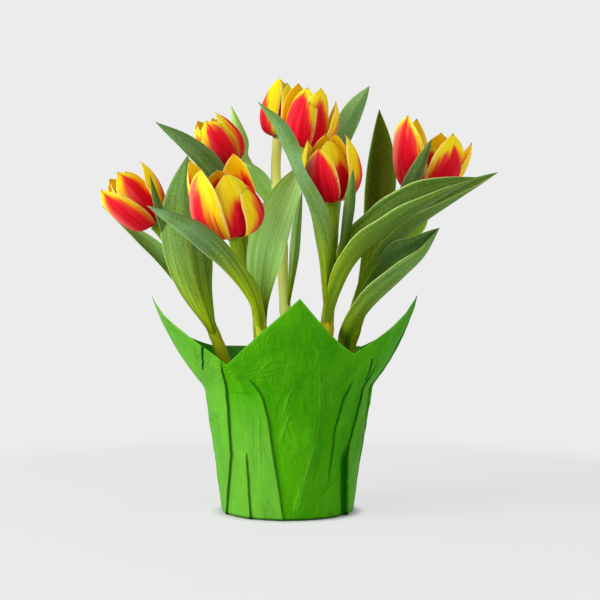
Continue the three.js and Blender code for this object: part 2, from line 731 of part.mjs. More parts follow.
/** Heading of a column at a level: it keeps its place between the laps and the flaps. */
function columnHeading(home, level) {
  const still = FLAPS.map(({ heading }) => [halfTurn(heading), 0]);
  const moved = LAPS.map(([, rows]) => {
    const bend = lapEdge(rows, 1)[0];
    return [halfTurn(bend), lapEdge(rows, level)[0] - bend];
  });
  const knots = [...still, ...moved].sort((p, q) => p[0] - q[0]);
  const [first, last] = [knots[0], knots[knots.length - 1]];
  const ring = [[last[0] - 360, last[1]], ...knots, [first[0] + 360, first[1]]];
  const k = ring.findIndex((knot) => knot[0] > home);
  const share = (home - ring[k - 1][0]) / (ring[k][0] - ring[k - 1][0]);
  return home + lerp(ring[k - 1][1], ring[k][1], share);
}

/** Way that a curve goes out and up in a run, as its slope turns evenly between angles. */
function arcTo(run, from, to) {
  const chord = Math.abs(to - from) < 1e-6 ? 1 : Math.sin((to - from) / 2) / ((to - from) / 2);
  const middle = (from + to) / 2;
  return [run * chord * Math.cos(middle), run * chord * Math.sin(middle)];
}

/** Radius and height of the paper beyond the bend, after a run along it. */
function flarePoint(run, flare, curl) {
  const wall = Math.atan2(COVER.bendHeight, COVER.bendRadius - COVER.baseRadius);
  const [low, high] = [rad(flare - curl), rad(flare + curl)];
  const bent = Math.min(run, COVER.bendLength);
  const rest = run - bent;
  const [o1, u1] = arcTo(bent, wall, lerp(wall, low, bent / COVER.bendLength));
  const [o2, u2] = arcTo(rest, low, lerp(low, high, rest / (COVER.flapLength - COVER.bendLength)));
  return [COVER.bendRadius + o1 + o2, COVER.bendHeight + u1 + u2];
}

/** Radius and height of the outer face at a heading and level. */
function coverPoint(heading, level) {
  const depth = lapDepth(heading, level);
  if (level <= 1) {
    const radius = lerp(COVER.baseRadius, COVER.bendRadius, level);
    return [radius + depth, Math.max(COVER.bendHeight * level, COVER.footBevel)];
  }
  // With a fall of 1 the free edges leave a flap's tip at 45 degrees on the flat paper.
  const { off, flare, curl, fall } = flapAt(heading);
  const sideways = fall * Math.sin(rad(off));
  const run = (COVER.flapLength - COVER.bendRadius * sideways)
    / (1 + Math.cos(rad(flare)) * sideways);
  const [radius, height] = flarePoint(run * (level - 1), flare, curl);
  return [radius + depth, height];
}

function polar(radius, height, heading) {
  return vec(radius * Math.sin(rad(heading)), -radius * Math.cos(rad(heading)), height);
}

const COVER_LEVELS = [0, 0.3, 0.6, 1, 1.3, 2];

function coverSolid() {
  const columns = coverColumns().map((home) => {
    const outer = COVER_LEVELS.map((level) => {
      const heading = columnHeading(home, level);
      return [...coverPoint(heading, level), heading];
    });
    const inner = outer.map(([radius, height, heading], k) => {
      const [r0, z0] = outer[Math.max(k - 1, 0)];
      const [r1, z1] = outer[Math.min(k + 1, outer.length - 1)];
      const length = Math.hypot(r1 - r0, z1 - z0);
      const inward = (PAPER * (z1 - z0)) / length;
      const upward = (PAPER * (r1 - r0)) / length;
      return [radius - inward, k === 0 ? COVER.footBevel : height + upward, heading];
    });
    const foot = [COVER.baseRadius - COVER.footBevel, 0, outer[0][2]];
    const floor = [COVER.baseRadius - COVER.footBevel, PAPER, outer[0][2]];
    return [foot, ...outer, ...inner.reverse(), floor].map((p) => polar(...p));
  });
  const rings = columns[0].map((_, row) => columns.map((column) => column[row]));
  return toSolid(loft(rings));
}

// ---- the object -----------------------------------------------------------------------

const material = (color, roughness) => new THREE.MeshStandardMaterial({
  color,
  roughness,
  metalness: 0,
});
const FINISH = {
  cover: material(0x3fa012, 0.5),
  pot: material(0x2b2b2a, 0.6),
  soil: material(0x3a281b, 0.95),
  bulb: material(0x9a6a38, 0.7),
  leaf: material(0x5c8a3c, 0.5),
  petal: material(0xe8321c, 0.45),
  heart: material(0xc9c56a, 0.6),
};

const object = new THREE.Group();

function addPiece(name, solid, finish) {
  const mesh = new THREE.Mesh(toGeometry(solid), finish.clone());
  mesh.name = name;
  object.add(mesh);
}

addPiece('paper_cover', coverSolid(), FINISH.cover);
addPiece('nursery_pot', potSolid(), FINISH.pot);
addPiece('soil', soilSolid(), FINISH.soil);
for (const [name, plant] of Object.entries(PLANTS)) {
  const leaves = Object.values(plant.leaves).map(leafSolid);
  addPiece(`bulb_${name}`, bulbSolid(plant.bulb, 0), FINISH.bulb);
  addPiece(`leafy_stem_${name}`, fuse([stemSolid(plant), ...leaves]), FINISH.leaf);
  addPiece(`bloom_${name}`, bloomSolid(plant.bloom), FINISH.petal);
  addPiece(`heart_${name}`, heartSolid(plant.bloom), FINISH.heart);
}

export default object;
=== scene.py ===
"""Potted tulips in a pleated green paper cover: the looks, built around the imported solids.

Every piece is worked out from the same values as the solids, in millimetres, with finer
faces, and is scaled to metres when its mesh is made. +Z is up and the front faces -Y.
"""

import math

import bpy
import numpy as np
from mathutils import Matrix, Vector, noise


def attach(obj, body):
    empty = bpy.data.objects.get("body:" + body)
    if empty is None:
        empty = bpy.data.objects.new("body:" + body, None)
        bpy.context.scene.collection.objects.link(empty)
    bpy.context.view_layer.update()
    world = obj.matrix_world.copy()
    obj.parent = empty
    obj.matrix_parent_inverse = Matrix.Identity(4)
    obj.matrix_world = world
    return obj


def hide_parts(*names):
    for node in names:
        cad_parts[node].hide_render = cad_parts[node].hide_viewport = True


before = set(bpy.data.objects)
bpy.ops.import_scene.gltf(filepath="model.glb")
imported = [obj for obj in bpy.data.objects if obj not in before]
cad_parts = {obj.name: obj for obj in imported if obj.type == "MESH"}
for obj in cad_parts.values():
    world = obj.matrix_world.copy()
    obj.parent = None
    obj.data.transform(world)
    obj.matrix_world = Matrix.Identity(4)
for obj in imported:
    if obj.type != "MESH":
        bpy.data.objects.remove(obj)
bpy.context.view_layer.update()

METRES = 0.001

# ---- values shared with the solids ----

GAP = 0.3
PAPER = 0.8
COVER = {
    "base_radius": 52, "bend_radius": 65.6, "bend_height": 98, "bend_length": 8,
    "foot_bevel": 1.5, "flap_length": 88, "notch_flare": 66,
}
# The flaps in order: heading of the tip, flare, curl, falls of its two free edges from the
# tip, and fall in the notch on the side of the higher headings.
FLAPS = [(6, 66, 0, 1, 1, 0.88), (77, 62, 12, 0.7, 0.9, 1), (180, 15, 0, 1, 1, 1),
         (278, 60, 12, 1.1, 0.65, 1.1)]
FLAP_SPANS = [(FLAPS[(i + 1) % 4][0] - FLAPS[i][0]) % 360 for i in range(4)]

POT = {
    "floor_radius": 49.2, "rim_radius": 63.2, "lip_radius": 62.9, "lip_top_radius": 63.9,
    "height": 95, "wall": 1.3, "floor": 1.6, "lip_drop": 7, "lip_step": 0.8,
    "drain_radius": 4.5, "drain_ring": 31, "drains": 6,
}
POT_BOTTOM = PAPER + GAP
POT_FLOOR_TOP = POT_BOTTOM + POT["floor"]
SOIL_TOP = 77

BULB_PROFILE = [[6, 0], [12.5, 6], [14, 14], [11.5, 24], [4.6, 40]]
BULB_BOTTOM = 44
BULB_TOP = BULB_BOTTOM + BULB_PROFILE[-1][1]

STEM_RADIUS = {"bottom": 4.6, "top": 3.9}
STEM_END = 24
LEAF_THICKNESS = 0.9
PETAL_THICKNESS = 0.8
NECK = {"radius": 4, "height": 6}
STAMENS = {"count": 6, "ring": 5.6, "foot_ring": 2.6, "share": 0.85}
PISTIL_SHARE = 0.36
INNER_WHORL = 0.8
PETAL_CURVE = {"share": 0.92, "least": 6, "most_wrap": 57}

# The plants: spot of the bulb, points that the stem passes through, the bloom with its six
# petals (heading, outward tilt, length as a share, width), and the leaves.
PLANTS = {
    "a": {
        "bulb": [-36, -8],
        "stem": [[-51, -21, 128], [-63, -21, 158], [-80, -12, 194]],
        "bloom": dict(at=[-105, -2, 230], lean=-37, nod=8, height=50, radius=19, mouth=0.75,
                      petals=[[-35, 13, 1.07, 33], [85, 9, 0.99, 40], [205, 4, 1, 34], [25, -7, 1.05, 34],
                      [145, 0, 0.95, 32], [265, -4, 0.96, 32]]),
        "leaves": {
            "low": dict(path=[[-52, -21, 132], [-70, -10, 163], [-95, 6, 195], [-123, 17, 220],
                [-149, 22, 244]], width=24, roll=[-20, -50], fold=[50, 40], base=0.4, peak=0.35),
            "wide": dict(path=[[-54, -22, 136], [-62, -32, 158], [-73, -36, 188], [-80, -34, 224],
                [-81, -32, 255], [-78, -30, 286]], width=45, roll=[-10, 0, 10], fold=[-60, -30, -18],
                base=0.2, peak=0.56, wave=2),
            "slim": dict(path=[[-57, -21, 144], [-76, -16, 180], [-92, -22, 219], [-101, -34, 247],
                [-107, -38, 271]], width=10, fold=[30, -30]),
        },
    },
    "b": {
        "bulb": [-12, -38],
        "stem": [[-18, -42, 138], [-25, -48, 180]],
        "bloom": dict(at=[-41, -62, 223], lean=-11, nod=14, height=62, radius=28, mouth=0.5,
                      petals=[[-52, 2, 1, 46], [72, -2, 0.7, 42], [190, 0, 0.84, 44], [26, -3, 0.87, 46],
                      [138, 6, 1.02, 44], [245, 10, 1.08, 44]]),
        "leaves": {
            "arch": dict(path=[[-19, -43, 144], [-25, -62, 176], [-42, -88, 208], [-63, -103, 230],
                [-85, -100, 242], [-106, -90, 249]], width=25, roll=[0, -30, -50], fold=[-60, -40, -28],
                base=0.45, peak=0.5),
            "wide": dict(path=[[-18, -42, 140], [-20, -34, 173], [-18, -30, 203], [-11, -27, 232],
                [1, -24, 259], [13, -22, 280]], width=40, fold=[60, 40, 30], base=0.25, wave=2),
        },
    },
    "c": {
        "bulb": [2, 5],
        "stem": [[-1, 10, 150], [-4, 20, 200], [-8, 34, 250]],
        "bloom": dict(at=[-8, 44, 298], lean=3, nod=0, height=48, radius=17, mouth=0.35,
                      petals=[[-60, -6, 1.05, 34], [60, 0, 0.95, 34], [180, 0, 1, 34], [0, 0, 0.95, 32],
                      [120, 0, 0.95, 32], [240, 0, 0.95, 32]]),
        "leaves": {
            "twist": dict(path=[[0, 12, 165], [-2, 25, 194], [-5, 36, 222], [-11, 42, 249],
                [-25, 49, 271], [-37, 54, 295], [-46, 59, 325]], width=23,
                roll=[0, 0, 0, 10, 30, 165, 180], fold=[60, 30], base=0.35, peak=0.65),
            "slim": dict(path=[[0, 11, 158], [5, 2, 198], [8, -4, 230], [12, -8, 258]], width=10,
                fold=[-40, -30]),
        },
    },
    "d": {
        "bulb": [27, -28],
        "stem": [[32, -33, 145], [34, -38, 188], [36, -44, 220]],
        "bloom": dict(at=[35.5, -48, 249], lean=-2, nod=2, height=54, radius=22, mouth=0.35,
                      petals=[[-25, 17, 0.87, 36], [85, 5, 0.99, 40], [205, 0, 1, 36],
                      [25, -11, 0.93, 36], [145, 0, 1, 34], [258, 13, 0.96, 42]]),
        "leaves": {
            "front": dict(path=[[32, -34, 150], [31, -52, 184], [29, -66, 214], [20, -77, 244],
                [5, -78, 276], [-4, -68, 307], [-22, -50, 328]], width=24, roll=[0, 0, 10, 45, 65, 10, 0],
                fold=[-60, -50, -40, -40, -30], base=0.4, peak=0.55),
            "arch": dict(path=[[32, -34, 147], [41, -50, 180], [56, -66, 208], [85, -76, 232],
                [116, -76, 253], [149, -64, 270]], width=50, roll=[150, 110, 85, 74, 72],
                fold=[55, 55, 50], base=0.35, peak=0.5, share=0.4, wave=2),
            "slim": dict(path=[[34, -37, 176], [41, -48, 203], [46, -62, 229], [49, -74, 254],
                [51, -78, 277]], width=12, fold=[-60, -30], peak=0.6),
        },
    },
    "e": {
        "bulb": [38, 4],
        "stem": [[52, 4, 137], [65, 2, 174], [86, -2, 212]],
        "bloom": dict(at=[109, -4, 253], lean=6, nod=4, height=60, radius=26, mouth=0.75,
                      petals=[[-50, 6, 1.08, 46], [42, 5, 0.9, 44], [150, -2, 0.84, 40],
                      [5, -4, 0.68, 38], [98, 22, 0.86, 40], [220, 3, 1, 36]]),
        "leaves": {
            "up": dict(path=[[52, 5, 145], [61, 20, 184], [70, 28, 221], [75, 29, 257], [76, 25, 289],
                [74, 18, 322]], width=28, fold=[70, 30, 20], peak=0.6),
            "low": dict(path=[[53, 3, 142], [61, -16, 171], [74, -30, 200], [98, -38, 227],
                [132, -40, 251], [165, -36, 273]], width=34, roll=[150, 110, 85, 65], fold=[55, 40, 25],
                base=0.45, peak=0.7),
            "base": dict(path=[[49, 4, 128], [51, -26, 144], [66, -46, 168], [90, -58, 192],
                [107, -56, 209], [119, -48, 230]], width=50, roll=[150, 110, 75, 60], fold=[50, 50, 50],
                base=0.4, peak=0.62, share=0.4),
            "slim": dict(path=[[61, 3, 163], [76, -12, 213], [90, -28, 247], [101, -41, 273],
                [113, -46, 299]], width=16, fold=[-50, -30], peak=0.6),
        },
    },
    "f": {
        "bulb": [-22, 32],
        "stem": [[-23, 30, 138], [-27, 28, 195], [-31, 28, 238]],
        "bloom": dict(at=[-44, 28, 276], lean=-30, nod=2, height=44, radius=18, mouth=0.45,
                      petals=[[0, 3, 0.98, 36], [80, 2, 1.02, 36], [215, 4, 1.04, 34], [-58, 8, 0.98, 32],
                      [145, 2, 0.95, 32], [268, 2, 0.98, 30]]),
        "leaves": {
            "cross": dict(path=[[-24, 30, 146], [-31, 13, 185], [-39, -2, 234], [-56, -12, 274],
                [-78, -12, 296], [-104, -6, 312]], width=22, roll=[0, -10, -20], fold=[-60, -40, -30],
                base=0.35, peak=0.6),
        },
    },
    "g": {
        "bulb": [20, 34],
        "stem": [[31, 34, 143], [35, 30, 192], [32, 21, 237]],
        "bloom": dict(at=[14, 12, 290], lean=8, nod=4, height=50, radius=19, mouth=0.5,
                      petals=[[-36, -3, 0.99, 42], [95, 14, 0.87, 36], [215, 13, 1.05, 36],
                      [35, 3, 1.02, 36], [155, 8, 0.95, 34], [275, 4, 0.9, 34]]),
        "leaves": {
            "up": dict(path=[[32, 34, 150], [36, 40, 192], [38, 46, 244], [41, 50, 289], [52, 51, 317],
                [67, 50, 341]], width=24, fold=[-60, -30], base=0.35, peak=0.7),
        },
    },
}

# ---- values of the looks alone ----

# Flames of the petals, in the order of PLANTS: how far up the red reaches (share of the
# petal), how much of its width it fills, how pink and pale its left side is (a pink blush with
# painted highlight, as that side faces the light), and how far it leans towards the right
# margin (-1 to 1). The last two are 0 where they are left out.
FLAMES = {
    "a": [(0.93, 0.82, 0.8, 0.05), (0.75, 0.75, 0.5, 0.45), (0.7, 0.7, 0.1),
          (0.92, 0.80, 0.5, 0.15), (0.7, 0.6), (0.65, 0.6)],
    "b": [(0.90, 0.85, 0.9, -0.45), (0.95, 0.75, 0.2, 0.55), (0.98, 0.95),
          (0.66, 0.80), (0.90, 0.90), (0.90, 0.90)],
    "c": [(0.72, 0.75, 0.6, -0.35), (0.70, 0.80, 0.4, 0.2), (0.7, 0.6, 0.1),
          (0.70, 0.70, 0.3, 0.1), (0.6, 0.5), (0.6, 0.5)],
    "d": [(1.02, 1.10, 0.85, -0.05), (0.80, 0.75, 0.2, 0.35), (0.7, 0.6, 0.1),
          (0.66, 0.90, 0.1, 0.35), (0.6, 0.6), (0.75, 0.6)],
    "e": [(1.02, 0.95, 1, -0.02), (0.80, 1.15), (0.7, 0.6, 0.1),
          (0.90, 1.10), (0.95, 0.75, 0.4, 0.45), (0.6, 0.6)],
    "f": [(0.93, 0.78, 0.2, 0.10), (0.96, 0.70, 0.1, 0.20), (0.7, 0.6),
          (0.80, 0.70, 0.3, 0.1), (0.7, 0.6), (0.7, 0.6)],
    "g": [(0.90, 1.00, 0.2, -0.08), (0.80, 0.85, 0.1, 0.3), (0.7, 0.6, 0.1),
          (0.80, 0.80, 0.1, -0.15), (0.7, 0.6), (0.8, 0.6)],
}
NECK_MARK = 5  # takes the place of the lean where a neck carries the petals

# Tones of the leaves: how pale (partly the blade's own lighter green, partly painted light
# for light shining through it), how much painted shade darkens it towards the midrib, and how
# waxy and blue-green.
LEAF_TONES = {
    "a.low": (0.30, 0.1, 0.2), "a.wide": (0.06, 0.12, 0.3), "a.slim": (0, 0.5, 0.3),
    "b.arch": (0.05, 0.25, 0.9), "b.wide": (1, 0, 0.4),
    "c.twist": (0.95, 0, 0.5), "c.slim": (0.4, 0.1, 0.1),
    "d.front": (0.10, 0.2, 0.9), "d.arch": (0, 0.5, 0.15), "d.slim": (0.05, 0.2, 0.3),
    "e.up": (0, 1, 0), "e.low": (0, 0.5, 0.2), "e.base": (0.05, 0.1, 0.35),
    "e.slim": (0, 0.5, 0.6), "f.cross": (0, 0.4, 0.6), "g.up": (0.20, 0.2, 0.8),
}
STEM_TONES = {  # how pale the stem is, and how far up it is flushed with red
    "a": (0, 0.3), "b": (0, 0), "c": (1, 0), "d": (0, 1), "e": (0, 0.3),
    "f": (0.3, 0), "g": (0.05, 0.2),
}

# Laps of the cover, as its paper is folded: the way the lap faces (+1 when its upper layer
# is on the side of the higher headings), then the heading and depth of its edge by level.
# A level is 0 at the foot, 1 at the bend and 2 at the free edge of a flap.
LAPS = [
    (1, [(0, -98, 1.4), (1, -104, 1.6), (2, -106, 0)]),
    (-1, [(0, -66, 1.6), (0.27, -54, 2), (0.51, -46.5, 2.2), (0.68, -45.5, 2.4),
          (1, -45, 2.4), (1.3, -43, 1.8), (2, -41, 0)]),
    (-1, [(0, -32.6, 1.6), (0.5, -31.9, 1.5), (0.56, -31.8, 0), (2, -31.5, 0)]),
    (-1, [(0, -2.6, 1.3), (0.6, -10.8, 1.8), (0.8, -12.5, 1.9), (0.96, -15.3, 1.9),
          (1.2, -20, 1.4), (1.4, -25, 0), (2, -27, 0)]),
    (1, [(0, 35, 0), (0.24, 35.5, 0), (0.3, 35.7, 0.5), (0.5, 36.6, 1.6), (0.75, 37.3, 2),
         (0.95, 41.6, 2), (1.1, 46, 1.4), (1.35, 48, 0), (2, 48.5, 0)]),
    (1, [(0, 64, 2.6), (0.27, 57.5, 2.8), (0.5, 53, 2.8), (0.6, 54, 2), (0.7, 57, 1.4),
         (1, 64, 1.4), (1.2, 63, 0.8), (1.5, 62, 0)]),
    (-1, [(0, 86, 1.4), (1, 78, 1.8), (1.6, 77, 0)]),
    (1, [(0, 96, 1.3), (0.7, 90, 2), (0.95, 88, 3.4), (1.3, 88, 2), (2, 88, 0)]),
    (1, [(0, 128, 1.8), (1, 131, 2.2), (2, 131, 0)]),
    (-1, [(0, 158, 1.5), (1, 152, 1.5), (2, 152, 0)]),
    (1, [(0, 174, 1.6), (1, 170, 1.8), (2, 170, 0)]),
    (-1, [(0, 192, 1.4), (1, 201, 1.5), (2, 201, 0)]),
    (1, [(0, 214, 2), (1, 222, 2.2), (2, 222, 0)]),
    (-1, [(0, 242, 1.6), (1, 240, 1.6), (2, 240, 0)]),
]
LAP_WIDTH = 13
LAP_UNDER = 2.2  # degrees that the middle layer of a lap reaches back under the upper one

# Soft folds of the cover: heading and height by level, and half width in degrees.
SOFT_FOLDS = [
    (8, [(0, 12, 0.2), (0.1, 13, 0.9), (0.6, 19.4, 1.2), (0.96, 23, 1.2), (1.3, 18, 0.8),
         (1.7, 16, 0)]),
    (5, [(0, -21, 0.4), (0.4, -19, 0.6), (1, -21, 0.7), (1.3, -23, 0)]),
    (6, [(0, -84, 0.5), (1, -82, 0.8), (1.8, -84, 0)]),
    (6, [(0, 118, 0.4), (1, 118, 0.7), (1.8, 118, 0)]),
    (7, [(0, 58, -1.6), (0.3, 52, -1.7), (0.45, 48.5, -1.2), (0.6, 46, 0)]),
]
COVER_THICKNESS = 0.35

# Sharp creases of the cover: level, heading and strength along each; a crease gets relief and
# a thin painted highlight on its crest, and a strength below 0 is an open slit, painted as a
# dark line of shade.
CREASES = [
    [(0.07, 8.9, 0.3), (0.36, 15, 0.8), (0.54, 19.4, 1), (0.78, 24.2, 1), (1.03, 22.6, 1),
     (1.48, 19, 0.9), (1.74, 15.5, 0)],
    [(0.35, -21.6, 0), (0.42, -21.4, 0.7), (0.8, -19.4, 0.7), (0.9, -19.2, 0)],
    [(1.1, 23.2, 0.6), (1.27, 24.8, 0.9), (1.36, 27, 0)],
    [(0.86, -3, 0), (0.92, -1, 0.7), (1.04, 2, 0.8), (1.12, 5, 0)],
    [(0.62, -5.5, 0), (0.7, -3, 0.7), (0.84, 1, 0.6), (0.9, 4, 0)],
    [(1.08, -22, 0), (1.1, -27, 0.7), (1.14, -36, 0.5), (1.16, -40, 0)],
    [(0.05, 6, 0), (0.12, 7.5, 0.7), (0.28, 11, 0.6), (0.34, 12, 0)],
    [(0.04, -9, 0), (0.08, -12, 0.8), (0.16, -17, 0.7), (0.2, -19, 0)],
    [(0.9, 34, 0), (1, 32, 0.6), (1.2, 33, 0.6), (1.3, 35, 0)],
    [(1.4, -58.5, -1), (1.5, -56.5, -1), (1.6, -54.2, -1), (1.7, -53.2, -1), (1.8, -51.8, -1),
     (2, -49.5, -1)],
    [(0.7, 68, 0), (0.9, 70, 0.8), (1.2, 72, 0.8), (1.4, 72, 0)],
    [(0.2, 84, 0), (0.5, 81, 0.7), (1, 80, 0.7), (1.1, 80, 0)],
    [(1.2, 61, -1), (1.36, 59, -1), (1.47, 57.5, -1), (1.6, 56, -1)],
    [(0.3, 140, 0), (0.5, 143, 0.8), (1.3, 146, 0.8), (1.5, 147, 0)],
    [(0.1, 188, 0), (0.4, 186, 0.8), (1.1, 184, 0.8), (1.4, 183, 0)],
    [(0.4, -128, 0), (0.6, -130, 0.8), (1, -133, 0.8), (1.3, -134, 0)],
]
CREASE_REACH = 6  # millimetres beyond which a crease is not felt

# Painted light and shade of the folded panels, for how each faces the light: the number of the
# lap that ends each panel on the side of its lower headings, and how light (1) or dark (-1)
# it is; before the first it is lightest.
PANEL_PAINTED_LIGHT = [(1, 0.24), (3, 0), (5, 0.1), (7, 0), (9, 0.2)]
FIRST_PANEL_PAINTED_LIGHT = 0.2
# Lap beside whose edge, on the side of its lower headings, the pocket is painted dark with shade.
SHADED_POCKET_LAP = 5

# ---- numbers ----


def spline(rows, t):
    """Catmull-Rom values at every t (0..1) through evenly spaced rows of numbers."""
    rows = np.asarray(rows, float)
    t = np.atleast_1d(np.asarray(t, float))
    if rows.ndim == 1:
        return spline(rows[:, None], t)[:, 0]
    last = len(rows) - 1
    if last == 0:
        return np.repeat(rows, len(t), axis=0)
    place = np.clip(t, 0, 1) * last
    i = np.minimum(place.astype(int), last - 1)
    s = (place - i)[:, None]
    padded = np.vstack([2 * rows[0] - rows[1], rows, 2 * rows[-1] - rows[-2]])
    a, b, c, d = (padded[i + k] for k in range(4))
    cubic = 3 * b - a - 3 * c + d
    square = 2 * a - 5 * b + 4 * c - d
    return 0.5 * (2 * b + (c - a) * s + square * s * s + cubic * s**3)


def unit(vectors):
    """Vectors scaled to length 1, along the last axis."""
    length = np.linalg.norm(vectors, axis=-1, keepdims=True)
    return vectors / np.maximum(length, 1e-9)


def tangent(path, t):
    """Direction of a spline at every t."""
    step = 0.001
    return unit(spline(path, np.minimum(t + step, 1)) - spline(path, np.maximum(t - step, 0)))


def smooth(low, high, value):
    """Share from 0 to 1 as a value goes from low to high, level at both ends."""
    s = np.clip((value - low) / (high - low), 0, 1)
    return s * s * (3 - 2 * s)


def level_values(points, level):
    """Values of a list of (level, value, ...) rows at a level, eased between the rows."""
    levels = [p[0] for p in points]
    return [np.interp(level, levels, [p[k] for p in points]) for k in range(1, len(points[0]))]


def rough(points, scale, octaves=2):
    """Smooth noise, about -1 to 1, at points in millimetres."""
    return np.array([noise.fractal(Vector(p) / scale, 1.0, 2.0, octaves) for p in points])


def turns(sides):
    """Angles of evenly spaced points round a circle."""
    return 2 * math.pi * np.arange(sides) / sides


# ---- meshes ----


class Shape:
    """Points, faces, surface coordinates, marks and tones of one piece, gathered part by part.

    The marks say where on the piece a point is, and the tones how its material varies there.
    """

    def __init__(self):
        self.points, self.faces, self.uv, self.marks, self.tones = [], [], [], [], []
        self.count = 0

    def add(self, points, faces, uv, mark, tone):
        points = np.asarray(points, float).reshape(-1, 3)
        total = len(points)
        self.points.append(points)
        self.faces.extend([tuple(int(k) + self.count for k in face) for face in faces])
        self.uv.append(np.asarray(uv, float).reshape(-1, 2))
        self.marks.append(np.broadcast_to(np.asarray(mark, float), (total, 3)))
        self.tones.append(np.broadcast_to(np.asarray(tone, float), (total, 3)))
        self.count += total

    def add_sheet(self, middle, half, uv, mark, tone):
        """Closed thin body round a grid of points; mark[0] is 0 in front and 1 behind."""
        rows, columns = middle.shape[:2]
        total = rows * columns
        lift = grid_normals(middle) * np.broadcast_to(half, (rows, columns))[..., None]
        index = np.arange(total).reshape(rows, columns)
        a, b = index[:-1, :-1].ravel(), index[:-1, 1:].ravel()
        c, d = index[1:, 1:].ravel(), index[1:, :-1].ravel()
        front = np.stack([a, b, c, d], 1)
        back = np.stack([a, d, c, b], 1) + total
        rim = np.concatenate([index[0, :-1], index[:-1, -1], index[-1, :0:-1], index[:0:-1, 0]])
        after = np.roll(rim, -1)
        edge = np.stack([after, rim, rim + total, after + total], 1)
        marks = np.zeros((2, total, 3))
        marks[:] = mark
        marks[1, :, 0] = 1
        self.add([middle + lift, middle - lift], np.concatenate([front, back, edge]), [uv, uv],
                 marks.reshape(-1, 3), tone)

    def add_loft(self, rings, t=None, mark=(0, 0, 0), tone=(0, 0, 0)):
        """Closed body through rings of equal point counts, with a fan at each end."""
        rings = np.asarray(rings, float)
        rows, count = rings.shape[:2]
        t = np.linspace(0, 1, rows) if t is None else np.asarray(t, float)
        index = np.arange(rows * count).reshape(rows, count)
        after = np.roll(index, -1, axis=1)
        faces = np.stack([index[:-1], after[:-1], after[1:], index[1:]], -1).reshape(-1, 4).tolist()
        ends = [rows * count, rows * count + 1]
        faces += [(ends[0], after[0][i], index[0][i]) for i in range(count)]
        faces += [(ends[1], index[-1][i], after[-1][i]) for i in range(count)]
        points = np.concatenate([rings.reshape(-1, 3), [rings[0].mean(0), rings[-1].mean(0)]])
        around = np.broadcast_to(np.arange(count) / count, (rows, count))
        along = np.broadcast_to(t[:, None], (rows, count))
        uv = np.concatenate([np.stack([around, along], -1).reshape(-1, 2), [[0, t[0]], [0, t[-1]]]])
        self.add(points, faces, uv, mark, tone)

    def build(self, name, material):
        """Makes an object of the gathered parts."""
        mesh = bpy.data.meshes.new(name)
        points = np.concatenate(self.points) * METRES
        mesh.from_pydata(points.tolist(), [], self.faces)
        corners = np.zeros(len(mesh.loops), int)
        mesh.loops.foreach_get("vertex_index", corners)
        layer = mesh.uv_layers.new(name="surface")
        layer.data.foreach_set("uv", np.concatenate(self.uv)[corners].ravel())
        for title, values in (("marks", self.marks), ("tones", self.tones)):
            attribute = mesh.attributes.new(title, "FLOAT_VECTOR", "POINT")
            attribute.data.foreach_set("vector", np.concatenate(values).ravel())
        mesh.polygons.foreach_set("use_smooth", [True] * len(mesh.polygons))
        mesh.materials.append(material)
        mesh.validate()
        mesh.update()
        piece = bpy.data.objects.new(name, mesh)
        bpy.context.scene.collection.objects.link(piece)
        return piece

    def make(self, name, material, nodes):
        """Makes the object of the piece, which rides on the root and replaces its nodes."""
        piece = self.build(name, material)
        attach(piece, "root")
        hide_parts(*nodes)
        return piece


def grid_normals(points):
    """Unit normals of a grid of points, from its neighbours (across x along)."""
    along = np.gradient(points, axis=0)
    across = np.gradient(points, axis=1)
    return unit(np.cross(across, along))


# ---- leaves and stems ----

LEAF_GRID = (72, 20)
LEAF_CROWDING = 0.85  # power that spreads the columns, a little closer towards the margins
LEAF_TIP_WIDTH = 0.6
TAPER = 2.1  # power of the curve along which a leaf or a petal narrows to its tip
FOLD = {"steps": 8, "least": 0.4, "gain": 1.2}  # how the fold grows from midrib to margin
FINE_RIPPLE = {"height": 0.22, "halves": 11}  # of the margins, on top of three broad half waves
GROOVE = {"depth": 0.5, "width": 0.07}
KEEL = {"depth": 0.5, "width": 0.10}
LEAF_THINNING = (0.95, 0.7, 0.4)
TO_FRONT = np.array([0.0, -1.0, 0.0])


def blade_grid(size, crowding=1.0):
    """Grid of a leaf or petal: u (-1 to 1), t (base to tip) and surface coordinates."""
    rows, columns = size
    t = np.linspace(0, 1, rows + 1)
    even = np.linspace(-1, 1, columns + 1)
    u = np.broadcast_to(np.sign(even) * np.abs(even) ** crowding, (rows + 1, columns + 1))
    return u, t, np.stack([u / 2 + 0.5, np.broadcast_to(t[:, None], u.shape)], -1)


def ridge(distance, shape):
    """Height of a rounded ridge or groove at a distance from its middle."""
    return shape["depth"] * np.exp(-((distance / shape["width"]) ** 2))


def half_thickness(thickness, u, t, middle, margin, tip):
    """Half the thickness of a leaf or petal, which thins towards its margins and its tip."""
    return thickness / 2 * (middle - margin * np.abs(u) ** 3) * (1 - tip * t[:, None])


def leaf_width(t, base, peak):
    """Width along a leaf, as a share: the base at its foot, 1 at the peak and 0 at the tip."""
    rise = np.clip(t / peak, 0, 1)
    fall = np.clip((t - peak) / (1 - peak), 0, 1)
    return np.where(t < peak, base + (1 - base) * rise**2 * (3 - 2 * rise), 1 - fall**TAPER)


